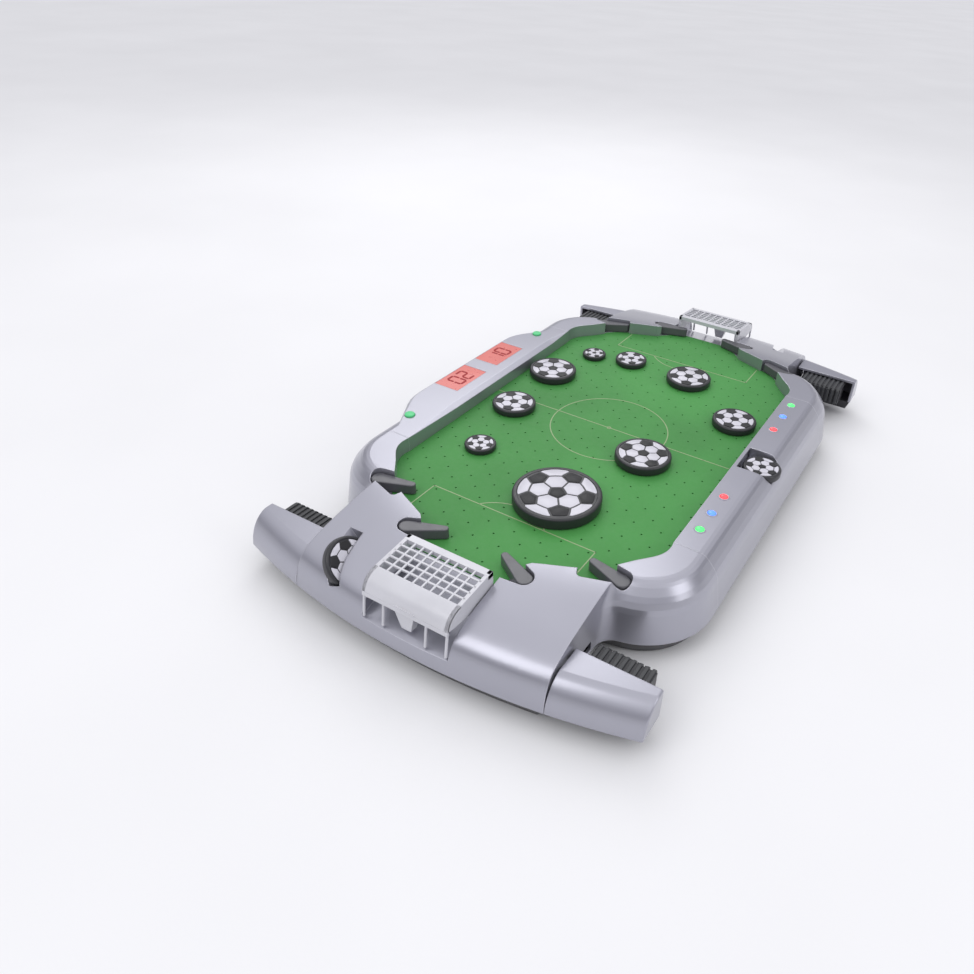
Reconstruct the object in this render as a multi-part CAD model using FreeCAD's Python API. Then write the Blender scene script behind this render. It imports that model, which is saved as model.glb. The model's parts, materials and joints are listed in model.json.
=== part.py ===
import FreeCAD, Part
import math
import os

# Table-top air soccer game: two players, each with two squeeze triggers that swing four
# flippers.  X runs across the field, Y along it (the near player sits at -Y), Z is up.
# The origin is on the table, under the centre of the field.  Millimetres.

V = FreeCAD.Vector

# ---- driving sizes ---------------------------------------------------------------------
FIELD_HALF_WIDTH = 120.0      # centre line to side wall
BULGE_OUT = FIELD_HALF_WIDTH + 45.0    # how far the score housing reaches to the left
GRIP_OUT = FIELD_HALF_WIDTH + 45.0     # how far the four hand grips reach sideways
HALF_LENGTH = 285.5           # centre to the middle of the bowed front edge
FRONT_RADIUS = 589.0          # radius of the bowed front edge, seen from above
BOARD_TOP = 48.0              # playing surface above the table
BOARD_THICK = 3.0
BOARD_LIP = 2.5               # the board reaches this far under the side walls
RAIL_RISE = 13.0              # rails stand this high over the board
SHELL_LOW = 18.0              # lower edge of the silver covers
BASE_LOW = 3.0                # underside of the base, on its feet
WALL = 2.5
GAP = 0.3                     # clearance between pieces that only pass each other
RUN = 0.08                    # running clearance on a radius

RAIL_WIDTH = 24.0             # flat top of a side rail
SHOULDER = 12.0               # sloping shoulder outside the flat top
FLARE = 5.0                   # the outer wall leans out this much towards the base
KNEE_EASE = 7.0               # rounding between outer wall and shoulder
BROW_EASE = 4.5               # rounding between shoulder and flat top
EASE_STEPS = 3
NECK_LEAN = 2.0               # the neck wall leans in this much over its height
CORNER_RADIUS = 58.0
NECK_X = FIELD_HALF_WIDTH - 16.0       # side of the end cover behind a grip
COVE_RADIUS = 14.0            # hollow curve between corner and neck

GOAL_HALF = 36.0              # half width of the bay that holds a goal
GOAL_LINE = HALF_LENGTH - 61.5         # centre to goal line
JOIN_Y = GOAL_LINE - 94.0              # side rails meet the end covers here
CORNER_Y = JOIN_Y + 11.0               # the rounded corner starts here
GOAL_BAR_Y = GOAL_LINE + 10.0          # centre to crossbar
GOAL_RISE = 18.0              # crossbar top over the board
GOAL_BACK = HALF_LENGTH - 5.5          # centre to the back of the net
GOAL_POST = 3.0
STRUT_R = 0.9

FLIPPER_INNER = (GOAL_HALF + 14.0, GOAL_LINE - 8.0)
FLIPPER_OUTER = (NECK_X + 2.0, GOAL_LINE - 42.0)
FLIPPER_REACH = 27.0          # pivot to centre of the rounded tip
FLIPPER_BUTT = 6.0            # radius round the pivot
FLIPPER_TIP = 3.0
FLIPPER_HEIGHT = 8.0
INNER_MID = 8.0               # mid-swing lift from straight inward, degrees
OUTER_MID = -4.0
SWING = 40.0                  # degrees, released to squeezed
SHAFT_R = 3.0
STROKE = 6.0                  # trigger travel
CRANK_Z = 27.0
CRANK_THICK = 3.0
PIN_R = 1.5
BAR_Z = 22.0
BAR_THICK = 4.0

GRIP_Y = HALF_LENGTH - 47.0            # field side of the grip shell
SPRING_SEAT = 6.2             # spring stop, in from the grip's front wall
GRIP_RISE = 24.0              # grip top over the cover's lower edge
TRIGGER_FRONT = GRIP_Y - 16.5          # field side of the trigger at half stroke
TRIGGER_BACK = GRIP_Y + 4.5
TRIGGER_HIGH = 17.0
TRIGGER_RIBS = 8
RIB_HALF = 1.4                # half the width of a trigger rib
RIB_HIGH = 2.0

PUCK_FLOAT = 0.3              # air gap under a puck
# puck: across and along a field of PUCK_FIELD half sizes, radius, thickness
PUCKS = ((19.0, -122.0, 35.0, 10.0), (48.5, -31.0, 24.0, 8.0), (92.0, 70.0, 20.0, 7.0),
         (24.0, 123.0, 22.0, 7.0), (-42.0, 127.0, 16.0, 5.5), (-80.0, 117.0, 12.0, 4.5),
         (-94.0, 57.0, 23.0, 7.5), (-89.5, -19.0, 20.0, 6.5), (-75.0, -92.0, 13.5, 5.0))

PUCK_FIELD = (120.0, 224.0)

POCKET_XY = (RAIL_WIDTH / 2 + FIELD_HALF_WIDTH + 8.0, 5.0)
POCKET_R = 17.0
POCKET_FLOOR = 51.0
STORE_R = 16.0                # stored puck
STORE_THICK = 7.0

SLOT_CENTRE = (35.0 - NECK_X, 28.5 - HALF_LENGTH, 42.0)
SLOT_R = 19.0
SLOT_LEAN = 50.0              # the stored puck's face leans this far from flat
SLOT_PLAY = 1.3
SLOT_LIFT = 60.0              # the slot is open this far along the puck's plane

LED_R = 3.3
LED_X = FIELD_HALF_WIDTH + 10.0
LED_Y = (114.0, 89.0, 62.0, -58.0, -83.0, -106.0)
BULGE_NEAR = (-126.0, -76.0)  # score housing: where it leaves the rail, where it is full width
BULGE_FAR = (122.0, 88.0)
BULGE_LOW = 28.0
BULGE_TUCK = 6.0              # the underside of the housing is drawn in this much
BULGE_EASE = 12.0
LEDGE = ((-126.0, 0.8), (-66.0, 6.0), (100.0, 6.0), (126.0, 0.8))   # along, width of the left inner bevel
LEDGE_SLOPE = 0.36
WINDOW = (26.0, 46.0)
WINDOW_XY = tuple((-FIELD_HALF_WIDTH - 29.0, y) for y in (43.0, -20.0))
BUTTON_XY = tuple((-FIELD_HALF_WIDTH - 23.0, y) for y in (-101.0, 104.0))
BUTTON_R = 4.5
BUTTON_PLAY = 0.2
BUTTON_FLANGE = 0.5           # keeps the button in its hole
SWITCH_YZ = (-20.0, 23.0)     # power switch under the score housing

HOLE_R = 0.8                  # air holes in the board
HOLE_PITCH = (22.8, 10.0)     # across and along, alternate rows staggered
THIN = 2.0                    # wall of air tray and blower case
AIR_INLET_R = 16.0
CASE_LOW, CASE_R = 17.0, 38.0
MOTOR_R = 12.0
FEET = ((NECK_X - 19.0, HALF_LENGTH - 37.5), (FIELD_HALF_WIDTH + 10.0, 0.0))
FOOT_R = 8.0
SCREWS = ((NECK_X - 11.0, HALF_LENGTH - 27.5), (FIELD_HALF_WIDTH + 20.0, JOIN_Y - 22.0))

# ---- derived levels ----------------------------------------------------------------------
BOARD_LOW = BOARD_TOP - BOARD_THICK
RAIL_TOP = BOARD_TOP + RAIL_RISE
SIDE_OUT = FIELD_HALF_WIDTH + RAIL_WIDTH + SHOULDER + FLARE
TOP_INSET = SHOULDER + FLARE
CORNER_X = SIDE_OUT - CORNER_RADIUS
BOW_Y = FRONT_RADIUS - HALF_LENGTH
GRIP_TOP = SHELL_LOW + GRIP_RISE
HIGH = RAIL_TOP + 60.0
PARTS = {}


# ---- small helpers ---------------------------------------------------------------------
def box(x0, x1, y0, y1, z0, z1):
    """Box between two corners."""
    return Part.makeBox(x1 - x0, y1 - y0, z1 - z0, V(x0, y0, z0))


def rod(x, y, z0, z1, radius):
    """Upright cylinder."""
    return Part.makeCylinder(radius, z1 - z0, V(x, y, z0))


def prism(points, z0, z1):
    """Upright prism over a plan outline."""
    wire = Part.makePolygon([V(x, y, z0) for x, y in points] + [V(*points[0], z0)])
    return Part.Face(wire).extrude(V(0, 0, z1 - z0))


def bar_x(points, x0, x1):
    """Prism along X over an outline of (y, z) points."""
    wire = Part.makePolygon([V(x0, y, z) for y, z in points] + [V(x0, *points[0])])
    return Part.Face(wire).extrude(V(x1 - x0, 0, 0))


def fuse(shapes):
    """One solid from several that touch."""
    joined = shapes[0]
    if len(shapes) > 1:
        joined = shapes[0].multiFuse(shapes[1:])
    return joined.removeSplitter()


def turned(shape, degrees=180.0, about=(0.0, 0.0)):
    """Copy turned about an upright axis."""
    copy = shape.copy()
    copy.rotate(V(about[0], about[1], 0), V(0, 0, 1), degrees)
    return copy


def mirrored(shape, normal):
    """Mirror image through a plane at the origin."""
    return shape.mirror(V(0, 0, 0), normal)


def moved(shape, x, y, z):
    """Copy moved by a vector."""
    copy = shape.copy()
    copy.translate(V(x, y, z))
    return copy


def save(node, shape):
    """Keep one sub-part."""
    PARTS[node] = shape


def closed(points, z):
    """Closed plan outline at one height."""
    loop = [V(x, y, z) for x, y in points]
    return Part.makePolygon(loop + loop[:1])


def eased(before, corner, after, reach):
    """Points that round a corner between two straight lines."""
    def along(other):
        span = math.hypot(other[0] - corner[0], other[1] - corner[1])
        return [c + (o - c) * reach / span for c, o in zip(corner, other)]
    start, end = along(before), along(after)
    points = []
    for i in range(EASE_STEPS + 1):
        t = i / EASE_STEPS
        points.append(tuple((1 - t) ** 2 * a + 2 * t * (1 - t) * c + t * t * b
                            for a, c, b in zip(start, corner, end)))
    return points


# Outer section of rails and end covers, as (inset from the outer edge, height).
FOOT, KNEE, BROW = (0.0, SHELL_LOW), (FLARE, BOARD_TOP), (TOP_INSET, RAIL_TOP)
SECTION = [FOOT] + eased(FOOT, KNEE, BROW, KNEE_EASE) + eased(KNEE, BROW, (SIDE_OUT, RAIL_TOP), BROW_EASE)


# ---- plan outlines ---------------------------------------------------------------------
def quarter_points(grow):
    """Corner of the field from the side wall to the goal, on the +X, -Y quarter."""
    wide = FIELD_HALF_WIDTH + grow
    return [V(wide, -JOIN_Y, 0), V(wide - 3.0, -JOIN_Y - 19.0 - grow * 0.3, 0),
            V(wide - 12.0, -JOIN_Y - 30.0 - grow * 0.8, 0),
            V(FIELD_HALF_WIDTH - 30.0 + grow * 0.5, 42.0 - GOAL_LINE - grow, 0),
            V(GOAL_HALF + 26.0 + grow * 0.3, 27.0 - GOAL_LINE - grow, 0),
            V(GOAL_HALF + 12.0, 21.0 - GOAL_LINE - grow, 0)]


def field_face(grow, z):
    """Field outline, grown outwards, as a face at height z."""
    curve = Part.BSplineCurve()
    curve.interpolate(quarter_points(grow))
    mouth = V(GOAL_HALF, 8.0 - GOAL_LINE, 0)
    near_right = [curve.toShape(), Part.makeLine(quarter_points(grow)[-1], mouth),
                  Part.makeLine(mouth, V(GOAL_HALF, -GOAL_LINE, 0)),
                  Part.makeLine(V(GOAL_HALF, -GOAL_LINE, 0), V(0, -GOAL_LINE, 0))]
    near = near_right + [mirrored(edge, V(1, 0, 0)) for edge in near_right]
    both = near + [mirrored(edge, V(0, 1, 0)) for edge in near]
    wide = FIELD_HALF_WIDTH + grow
    both += [Part.makeLine(V(s * wide, -JOIN_Y, 0), V(s * wide, JOIN_Y, 0)) for s in (-1, 1)]
    wire = Part.Wire(Part.sortEdges(both)[0])
    wire.translate(V(0, 0, z))
    return Part.Face(wire)


def cover_side(side, neck, join):
    """Right edge of the near end's outline, inset by side (corner) and by neck."""
    cove_x = NECK_X - neck + COVE_RADIUS
    reach = CORNER_RADIUS - side + COVE_RADIUS
    cove_y = -CORNER_Y - math.sqrt(reach ** 2 - (cove_x - CORNER_X) ** 2)
    share = (CORNER_RADIUS - side) / reach
    touch = (CORNER_X + (cove_x - CORNER_X) * share, -CORNER_Y + (cove_y + CORNER_Y) * share)
    end = math.atan2(touch[1] + CORNER_Y, touch[0] - CORNER_X)
    mid = V(CORNER_X + (CORNER_RADIUS - side) * math.cos(end / 2),
            -CORNER_Y + (CORNER_RADIUS - side) * math.sin(end / 2), 0)
    start = math.atan2(touch[1] - cove_y, touch[0] - cove_x)
    half = (start + math.pi) / 2
    hollow = V(cove_x + COVE_RADIUS * math.cos(half), cove_y + COVE_RADIUS * math.sin(half), 0)
    top = V(SIDE_OUT - side, -join, 0)
    begin = V(SIDE_OUT - side, -CORNER_Y, 0)
    meet = V(touch[0], touch[1], 0)
    neck_top = V(NECK_X - neck, cove_y, 0)
    return [top, begin, mid, meet, hollow, neck_top]


def front_y(x, inset=0.0):
    """Where the bowed front edge lies at a distance from the middle."""
    return BOW_Y - math.sqrt((FRONT_RADIUS - inset) ** 2 - x ** 2)


def cover_wire(side, neck, front, z, join=JOIN_Y):
    """Closed outline of the near end cover at height z."""
    right = cover_side(side, neck, join)
    edges = []
    for flip in (1, -1):
        p = [V(flip * q.x, q.y, 0) for q in right]
        corner = V(flip * (NECK_X - neck), front_y(NECK_X - neck, front), 0)
        half = [Part.makeLine(p[0], p[1]), Part.Arc(p[1], p[2], p[3]).toShape(),
                Part.Arc(p[3], p[4], p[5]).toShape(), Part.makeLine(p[5], corner)]
        if flip == 1:
            middle = V(0, front_y(0, front), 0)
            edges = half + [Part.Arc(corner, middle, V(-corner.x, corner.y, 0)).toShape()]
        else:
            edges += half[::-1]
    edges.append(Part.makeLine(V(-right[0].x, -join, 0), V(right[0].x, -join, 0)))
    wire = Part.Wire(Part.sortEdges(edges)[0])
    wire.translate(V(0, 0, z))
    return wire


def stack(wires):
    """Ruled solid through outlines at rising heights."""
    return Part.makeLoft(wires, True, True)


def bowed(profile, low, inward):
    """Solid under a profile of (depth, height) swept round the bowed front."""
    outer = [V(0, BOW_Y - FRONT_RADIUS + d, z) for d, z in profile]
    curve = Part.BSplineCurve()
    curve.interpolate(outer)
    back = V(0, BOW_Y - FRONT_RADIUS + inward, outer[-1].z)
    edges = [curve.toShape(), Part.makeLine(outer[-1], back),
             Part.makeLine(back, V(0, back.y, low)), Part.makeLine(V(0, back.y, low), V(0, outer[0].y, low))]
    if low < outer[0].z:
        edges.append(Part.makeLine(V(0, outer[0].y, low), outer[0]))
    face = Part.Face(Part.Wire(Part.sortEdges(edges)[0]))
    face.rotate(V(0, BOW_Y, 0), V(0, 0, 1), -25.0)
    return face.revolve(V(0, BOW_Y, 0), V(0, 0, 1), 50.0)


# Rolled front surface, as (depth from the bowed edge, height over the covers' lower edge).
APRON = ((0, 0.0), (2.0, 10.0), (8.0, 22.5), (22.0, 30.5), (47.0, 36.5), (78.0, 41.6),
         (98.0, RAIL_TOP - SHELL_LOW))


def apron_limit(thin, low):
    """Everything under the apron's rolled surface, drawn in by a wall."""
    return bowed([(d + thin, SHELL_LOW + h - thin) for d, h in APRON], low, 300.0)


# ---- flipper layout --------------------------------------------------------------------
def flipper_spots():
    """Name, side, end, pivot and mid-swing lift of each flipper."""
    spots = []
    for end, end_name in ((-1, "near"), (1, "far")):
        for side, side_name in ((-1, "left"), (1, "right")):
            for (x, y), mid, kind in ((FLIPPER_INNER, INNER_MID, "inner"),
                                      (FLIPPER_OUTER, OUTER_MID, "outer")):
                spots.append((f"flipper_{end_name}_{side_name}_{kind}", side, end, side * x, end * y, mid))
    return spots


def paddle(grow, reach=FLIPPER_REACH):
    """Flipper outline pointing along -X from the pivot, as a face at z 0."""
    butt, tip = FLIPPER_BUTT + grow, FLIPPER_TIP + grow
    lean = math.asin((butt - tip) / reach)
    up = (math.sin(lean), math.cos(lean))
    a, b = V(-butt * up[0], butt * up[1], 0), V(-reach - tip * up[0], tip * up[1], 0)
    c, d = V(b.x, -b.y, 0), V(a.x, -a.y, 0)
    edges = [Part.makeLine(a, b), Part.Arc(b, V(-reach - tip, 0, 0), c).toShape(),
             Part.makeLine(c, d), Part.Arc(d, V(butt, 0, 0), a).toShape()]
    return Part.Face(Part.Wire(edges))


def notch_near_right(pivot, mid, grow, z0):
    """Space a near right flipper sweeps, from its released to its squeezed angle."""
    steps = 8
    pieces = []
    for step in range(steps + 1):
        angle = -mid + SWING / 2 - SWING * step / steps
        face = paddle(grow)
        face.rotate(V(0, 0, 0), V(0, 0, 1), angle)
        pieces.append(moved(face.extrude(V(0, 0, HIGH)), pivot[0], -pivot[1], z0))
    return fuse(pieces)


# ---- end covers ------------------------------------------------------------------------
def bay(grow, floor_drop):
    """Goal bay with a floor that falls towards the player."""
    outline = [(-GOAL_LINE + 3.0 + grow, HIGH), (-GOAL_LINE + 3.0 + grow, BOARD_TOP - floor_drop),
               (-GOAL_LINE - 4.0, BOARD_TOP - 1.5 - floor_drop), (-HALF_LENGTH - 6.0, 26.0 - floor_drop),
               (-HALF_LENGTH - 6.0, HIGH)]
    return bar_x(outline, -GOAL_HALF - grow, GOAL_HALF + grow)


def slot_space(radius, below, above, lift):
    """Leaning space of the puck slot, open along the puck's own plane."""
    lean = math.radians(SLOT_LEAN)
    normal = V(math.sin(lean), 0, math.cos(lean))
    out = V(-math.cos(lean), 0, math.sin(lean))
    centre = V(*SLOT_CENTRE)
    disc = Part.makeCylinder(radius, below + above, centre - normal * below, normal)
    corner = centre - normal * below - V(0, radius, 0)
    far_side = V(0, 2 * radius, 0)
    corners = [corner, corner + out * lift, corner + out * lift + far_side, corner + far_side]
    way = Part.Face(Part.makePolygon(corners + corners[:1])).extrude(normal * (below + above))
    return fuse([disc, way])


def near_end_cover():
    """Silver end cover: apron, two rounded corners, flipper notches, goal bay, puck slot."""
    rise = RAIL_TOP - SHELL_LOW
    outer = stack([cover_wire(inset, NECK_LEAN * (z - SHELL_LOW) / rise, 0, z) for inset, z in SECTION])
    outer = outer.common(apron_limit(0.0, SHELL_LOW))
    inner = stack([cover_wire(WALL, WALL, WALL, SHELL_LOW - 1.0, JOIN_Y - 1.0),
                   cover_wire(FLARE + WALL, 1.0 + WALL, WALL, BOARD_TOP - 1.0, JOIN_Y - 1.0),
                   cover_wire(TOP_INSET + WALL * 0.4, 2.0 + WALL, WALL, RAIL_TOP - WALL, JOIN_Y - 1.0)])
    inner = inner.common(apron_limit(WALL, SHELL_LOW - 4.0))
    walls = [field_face(WALL, 0).extrude(V(0, 0, HIGH)), bay(WALL, WALL)]
    notches = []
    bosses = []
    for pivot, mid in ((FLIPPER_INNER, INNER_MID), (FLIPPER_OUTER, OUTER_MID)):
        block = notch_near_right(pivot, mid, 1.0 + WALL, BOARD_LOW)
        space = notch_near_right(pivot, mid, 1.0, BOARD_TOP)
        tube = rod(pivot[0], -pivot[1], CRANK_Z + CRANK_THICK + 1.0, BOARD_LOW + 1.0, SHAFT_R + WALL)
        bore = rod(pivot[0], -pivot[1], 0.0, HIGH, SHAFT_R + RUN)
        for flip in (False, True):
            solids = [block, space, tube, bore]
            if flip:
                solids = [mirrored(s, V(1, 0, 0)) for s in solids]
            walls.append(solids[0])
            notches += [solids[1], solids[3]]
            bosses.append(solids[2])
    slot_half = STORE_THICK / 2 + SLOT_PLAY
    skin = WALL * 0.8
    walls.append(slot_space(SLOT_R + SLOT_PLAY + skin, slot_half + skin, slot_half + skin, SLOT_LIFT))
    for x, y in SCREWS[:1]:
        bosses += [rod(s * x, -y, SHELL_LOW, SHELL_LOW + 16.0, 4.5) for s in (-1, 1)]
    shell = outer.cut(inner.cut(fuse(walls)))
    shell = shell.fuse(bosses[0].multiFuse(bosses[1:]))
    cuts = notches + [bay(0.0, 0.0), field_face(0.0, BOARD_TOP).extrude(V(0, 0, HIGH))]
    cuts.append(field_face(BOARD_LIP + GAP, 0.0).extrude(V(0, 0, BOARD_TOP)))
    cuts.append(slot_space(SLOT_R + SLOT_PLAY, slot_half, slot_half, SLOT_LIFT))
    for s in (-1, 1):
        x0, x1 = sorted((s * (NECK_X - 12.0), s * (NECK_X + 8.0)))
        cuts.append(box(x0, x1, -TRIGGER_FRONT - 15.0, -TRIGGER_FRONT + 6.0,
                        BAR_Z - 2.0, BAR_Z + BAR_THICK + 2.0))
        for x, y in SCREWS[:1]:
            cuts.append(rod(s * x, -y, 0.0, SHELL_LOW + 14.0, 1.6))
    shell = shell.cut(cuts[0].multiFuse(cuts[1:]))
    solids = sorted(shell.Solids, key=lambda s: s.Volume)
    return solids[-1]


# ---- side rails ------------------------------------------------------------------------
def rail_profile(side):
    """Hollow rail section, open underneath, as a face."""
    inner = FIELD_HALF_WIDTH
    outline = [(inner, BOARD_TOP), (inner, RAIL_TOP)]
    outline += [(SIDE_OUT - inset, z) for inset, z in reversed(SECTION)]
    outline += [(SIDE_OUT - WALL, SHELL_LOW), (inner + RAIL_WIDTH + SHOULDER - WALL, BOARD_TOP - 1.0),
                (inner + RAIL_WIDTH - 1.0, RAIL_TOP - WALL), (inner + WALL, RAIL_TOP - WALL),
                (inner + WALL, BOARD_TOP)]
    points = [V(side * x, -JOIN_Y, z) for x, z in outline]
    return Part.Face(Part.makePolygon(points + points[:1]))


def screw_boss(x, y):
    """Boss and pilot hole that a housing screw bites into."""
    return rod(x, y, SHELL_LOW, RAIL_TOP - WALL, 4.5), rod(x, y, 0.0, SHELL_LOW + 14.0, 1.6)


def right_rail():
    """Right rail with its puck pocket and lamp holes."""
    rail = rail_profile(1).extrude(V(0, 2 * JOIN_Y, 0))
    x, y = POCKET_XY
    cup = rod(x, y, POCKET_FLOOR - WALL, RAIL_TOP - 0.5, POCKET_R + WALL)
    cup = fuse([cup, box(x - POCKET_R, x, y - POCKET_R - WALL, y + POCKET_R + WALL,
                         POCKET_FLOOR - WALL, RAIL_TOP - 0.5)])
    under = [(FIELD_HALF_WIDTH, 0.0), (FIELD_HALF_WIDTH, RAIL_TOP)]
    under += [(SIDE_OUT - inset, z) for inset, z in reversed(SECTION)] + [(SIDE_OUT, 0.0)]
    loop = [V(px, -JOIN_Y, pz) for px, pz in under]
    limit = Part.Face(Part.makePolygon(loop + loop[:1])).extrude(V(0, 2 * JOIN_Y, 0))
    solids = [rail, cup.common(limit)]
    holes = [rod(x, y, POCKET_FLOOR, HIGH, POCKET_R),
             box(x - POCKET_R, x, y - POCKET_R, y + POCKET_R, POCKET_FLOOR, HIGH)]
    for s in (-1, 1):
        boss, pilot = screw_boss(SCREWS[1][0], s * SCREWS[1][1])
        solids.append(boss)
        holes.append(pilot)
    holes += [rod(LED_X, lamp, BOARD_TOP, HIGH, LED_R + 0.05) for lamp in LED_Y]
    return fuse(solids).cut(holes[0].multiFuse(holes[1:]))


def bulge_outline(inset, z):
    """Plan of the score housing that widens the left rail."""
    wide = BULGE_OUT - inset
    inner = FIELD_HALF_WIDTH + RAIL_WIDTH - 6.0
    root_near, near = (-inner, BULGE_NEAR[0] + inset), (-wide, BULGE_NEAR[1] + inset)
    far, root_far = (-wide, BULGE_FAR[1] - inset), (-inner, BULGE_FAR[0] - inset)
    points = [root_near] + eased(root_near, near, far, BULGE_EASE) + eased(near, far, root_far, BULGE_EASE)
    return closed(points + [root_far], z)


def bulge(thin):
    """Score housing with a tucked underside and an eased top edge."""
    levels = [(BULGE_TUCK, BULGE_LOW), (1.0, BULGE_LOW + 9.0), (0.0, RAIL_TOP - 4.0),
              (1.0, RAIL_TOP - 1.5), (3.0, RAIL_TOP)]
    if thin:
        levels = [(BULGE_TUCK + thin, BULGE_LOW + thin), (1.0 + thin, BULGE_LOW + 9.0),
                  (1.5 + thin, RAIL_TOP - thin)]
    return stack([bulge_outline(inset, z) for inset, z in levels])


def ledge():
    """Wedge taken off the inner top edge of the left rail."""
    outlines = []
    for y, wide in LEDGE:
        low = RAIL_TOP - LEDGE_SLOPE * wide
        loop = [V(-FIELD_HALF_WIDTH + 1.0, y, low - LEDGE_SLOPE), V(-FIELD_HALF_WIDTH - wide, y, RAIL_TOP),
                V(-FIELD_HALF_WIDTH - wide, y, HIGH), V(-FIELD_HALF_WIDTH + 1.0, y, HIGH)]
        outlines.append(Part.makePolygon(loop + loop[:1]))
    return stack(outlines)


def left_rail():
    """Left rail with score housing, windows and start-button holes."""
    rail = rail_profile(-1).extrude(V(0, 2 * JOIN_Y, 0))
    solids = [rail, bulge(0.0)]
    holes = [bulge(WALL), ledge()]
    for x, y in WINDOW_XY:
        holes.append(box(x - WINDOW[0] / 2, x + WINDOW[0] / 2, y - WINDOW[1] / 2, y + WINDOW[1] / 2,
                         BOARD_TOP, HIGH))
    holes += [rod(x, y, BOARD_TOP, HIGH, BUTTON_R + BUTTON_PLAY) for x, y in BUTTON_XY]
    holes += [rod(x, y, BOARD_TOP, RAIL_TOP - WALL, BUTTON_R + BUTTON_FLANGE + GAP) for x, y in BUTTON_XY]
    shell = fuse(solids).cut(holes[0].multiFuse(holes[1:]))
    posts = []
    pilots = []
    for s in (-1, 1):
        boss, pilot = screw_boss(-SCREWS[1][0] + 6.0, s * SCREWS[1][1] + s * 10.0)
        posts.append(boss)
        pilots.append(pilot)
    shell = shell.fuse(posts[0].multiFuse(posts[1:])).cut(pilots[0].multiFuse(pilots[1:]))
    y, z = SWITCH_YZ
    slide_slot = box(-SIDE_OUT - 2, -SIDE_OUT + 8.0, y - 7.0, y + 7.0, z - 2.5, z + 2.5)
    return shell.cut(slide_slot).removeSplitter()


# ---- hand grips ------------------------------------------------------------------------
GRIP = ((0, 0.0), (1.6, 8.0), (5.5, 16.0), (11.0, 21.5), (17.0, GRIP_RISE))


def grip_plan(inset, z, front):
    """Plan of a near right grip as a closed outline."""
    out = GRIP_OUT - inset
    a, b = V(NECK_X + GAP, -GRIP_Y, 0), V(out, -GRIP_Y, 0)
    c, d = V(out, front_y(out, front), 0), V(NECK_X + GAP, front_y(NECK_X + GAP, front), 0)
    mid_x = (c.x + d.x) / 2
    mid = V(mid_x, front_y(mid_x, front), 0)
    edge = Part.Arc(c, mid, d).toShape()
    wire = Part.Wire([Part.makeLine(a, b), Part.makeLine(b, c), edge, Part.makeLine(d, a)])
    wire.translate(V(0, 0, z))
    return Part.Face(wire)


def grip_shell():
    """D-shaped near right grip, open towards the field for its trigger."""
    outer = grip_plan(0.0, SHELL_LOW, 0.0).extrude(V(0, 0, GRIP_RISE))
    outer = outer.common(bowed([(d, SHELL_LOW + h) for d, h in GRIP], SHELL_LOW, 200.0))
    cap = []
    for edge in outer.Edges:
        room = edge.BoundBox
        on_end = abs(room.XMin - GRIP_OUT) < 0.01 and abs(room.XMax - GRIP_OUT) < 0.01
        if on_end and room.ZMax > SHELL_LOW + 1.0 and room.YMin < -GRIP_Y - 1.0:
            cap.append(edge)
    outer = outer.makeFillet(1.5, cap)
    inner = grip_plan(WALL, SHELL_LOW - 1.0, WALL).extrude(V(0, 0, GRIP_RISE + 1.0 - WALL))
    inner = inner.common(bowed([(d + WALL, SHELL_LOW + h - WALL) for d, h in GRIP], SHELL_LOW - 3.0, 200.0))
    inner = inner.fuse(box(NECK_X - 1.0, GRIP_OUT - WALL, -GRIP_Y - 3.0, -GRIP_Y + 2.0,
                           SHELL_LOW - 1.0, GRIP_TOP - WALL))
    return outer.cut(inner)


def grip_base():
    """Black underside of a near right grip."""
    top = grip_plan(0.6, SHELL_LOW, 0.6).OuterWire
    low = grip_plan(3.0, SHELL_LOW - 8.0, 6.0).OuterWire
    return Part.makeLoft([low, top], True, True)


def trigger():
    """Near right trigger at half stroke, in one piece with the bar that drives two flippers."""
    x0, x1 = NECK_X + 9.0, GRIP_OUT - 10.0
    z0, z1 = BAR_Z - 1.0, BAR_Z - 1.0 + TRIGGER_HIGH
    solids = [box(x0, x1, -TRIGGER_BACK, -TRIGGER_FRONT, z0, z1)]
    pitch = (x1 - x0) / TRIGGER_RIBS
    for i in range(TRIGGER_RIBS):
        rib = x0 + pitch * (i + 0.5)
        solids.append(box(rib - RIB_HALF, rib + RIB_HALF, -TRIGGER_FRONT - 1.0, -TRIGGER_FRONT + RIB_HIGH,
                          z0 + 1.0, z1 - 1.0))
    inner_x, inner_y = FLIPPER_INNER
    outer_x, outer_y = FLIPPER_OUTER
    reach = crank_reach()
    top = BAR_Z + BAR_THICK
    pin_x = inner_x + reach
    solids.append(box(pin_x - 4.0, x0 + 2.0, -TRIGGER_FRONT - 8.0, -TRIGGER_FRONT - 2.0, BAR_Z, top))
    solids.append(box(pin_x - 4.0, pin_x + 4.0, -TRIGGER_FRONT - 4.0, -inner_y + 5.0, BAR_Z, top))
    solids.append(box(NECK_X - 12.0, NECK_X - 5.0, -TRIGGER_FRONT - 4.0, -outer_y + 5.0, BAR_Z, top))
    solids.append(box(NECK_X - 12.0, outer_x + reach + 4.0, -outer_y - 5.0, -outer_y + 5.0, BAR_Z, top))
    bar = fuse(solids)
    slots = [box(x + reach - 2.4, x + reach + 2.0, -y - PIN_R - 0.25, -y + PIN_R + 0.25, 0, HIGH)
             for x, y in (FLIPPER_INNER, FLIPPER_OUTER)]
    return bar.cut(slots[0].fuse(slots[1]))


def crank_reach():
    """Crank length that turns the trigger's stroke into the flipper's swing."""
    return STROKE / 2 / math.sin(math.radians(SWING / 2))


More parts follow.
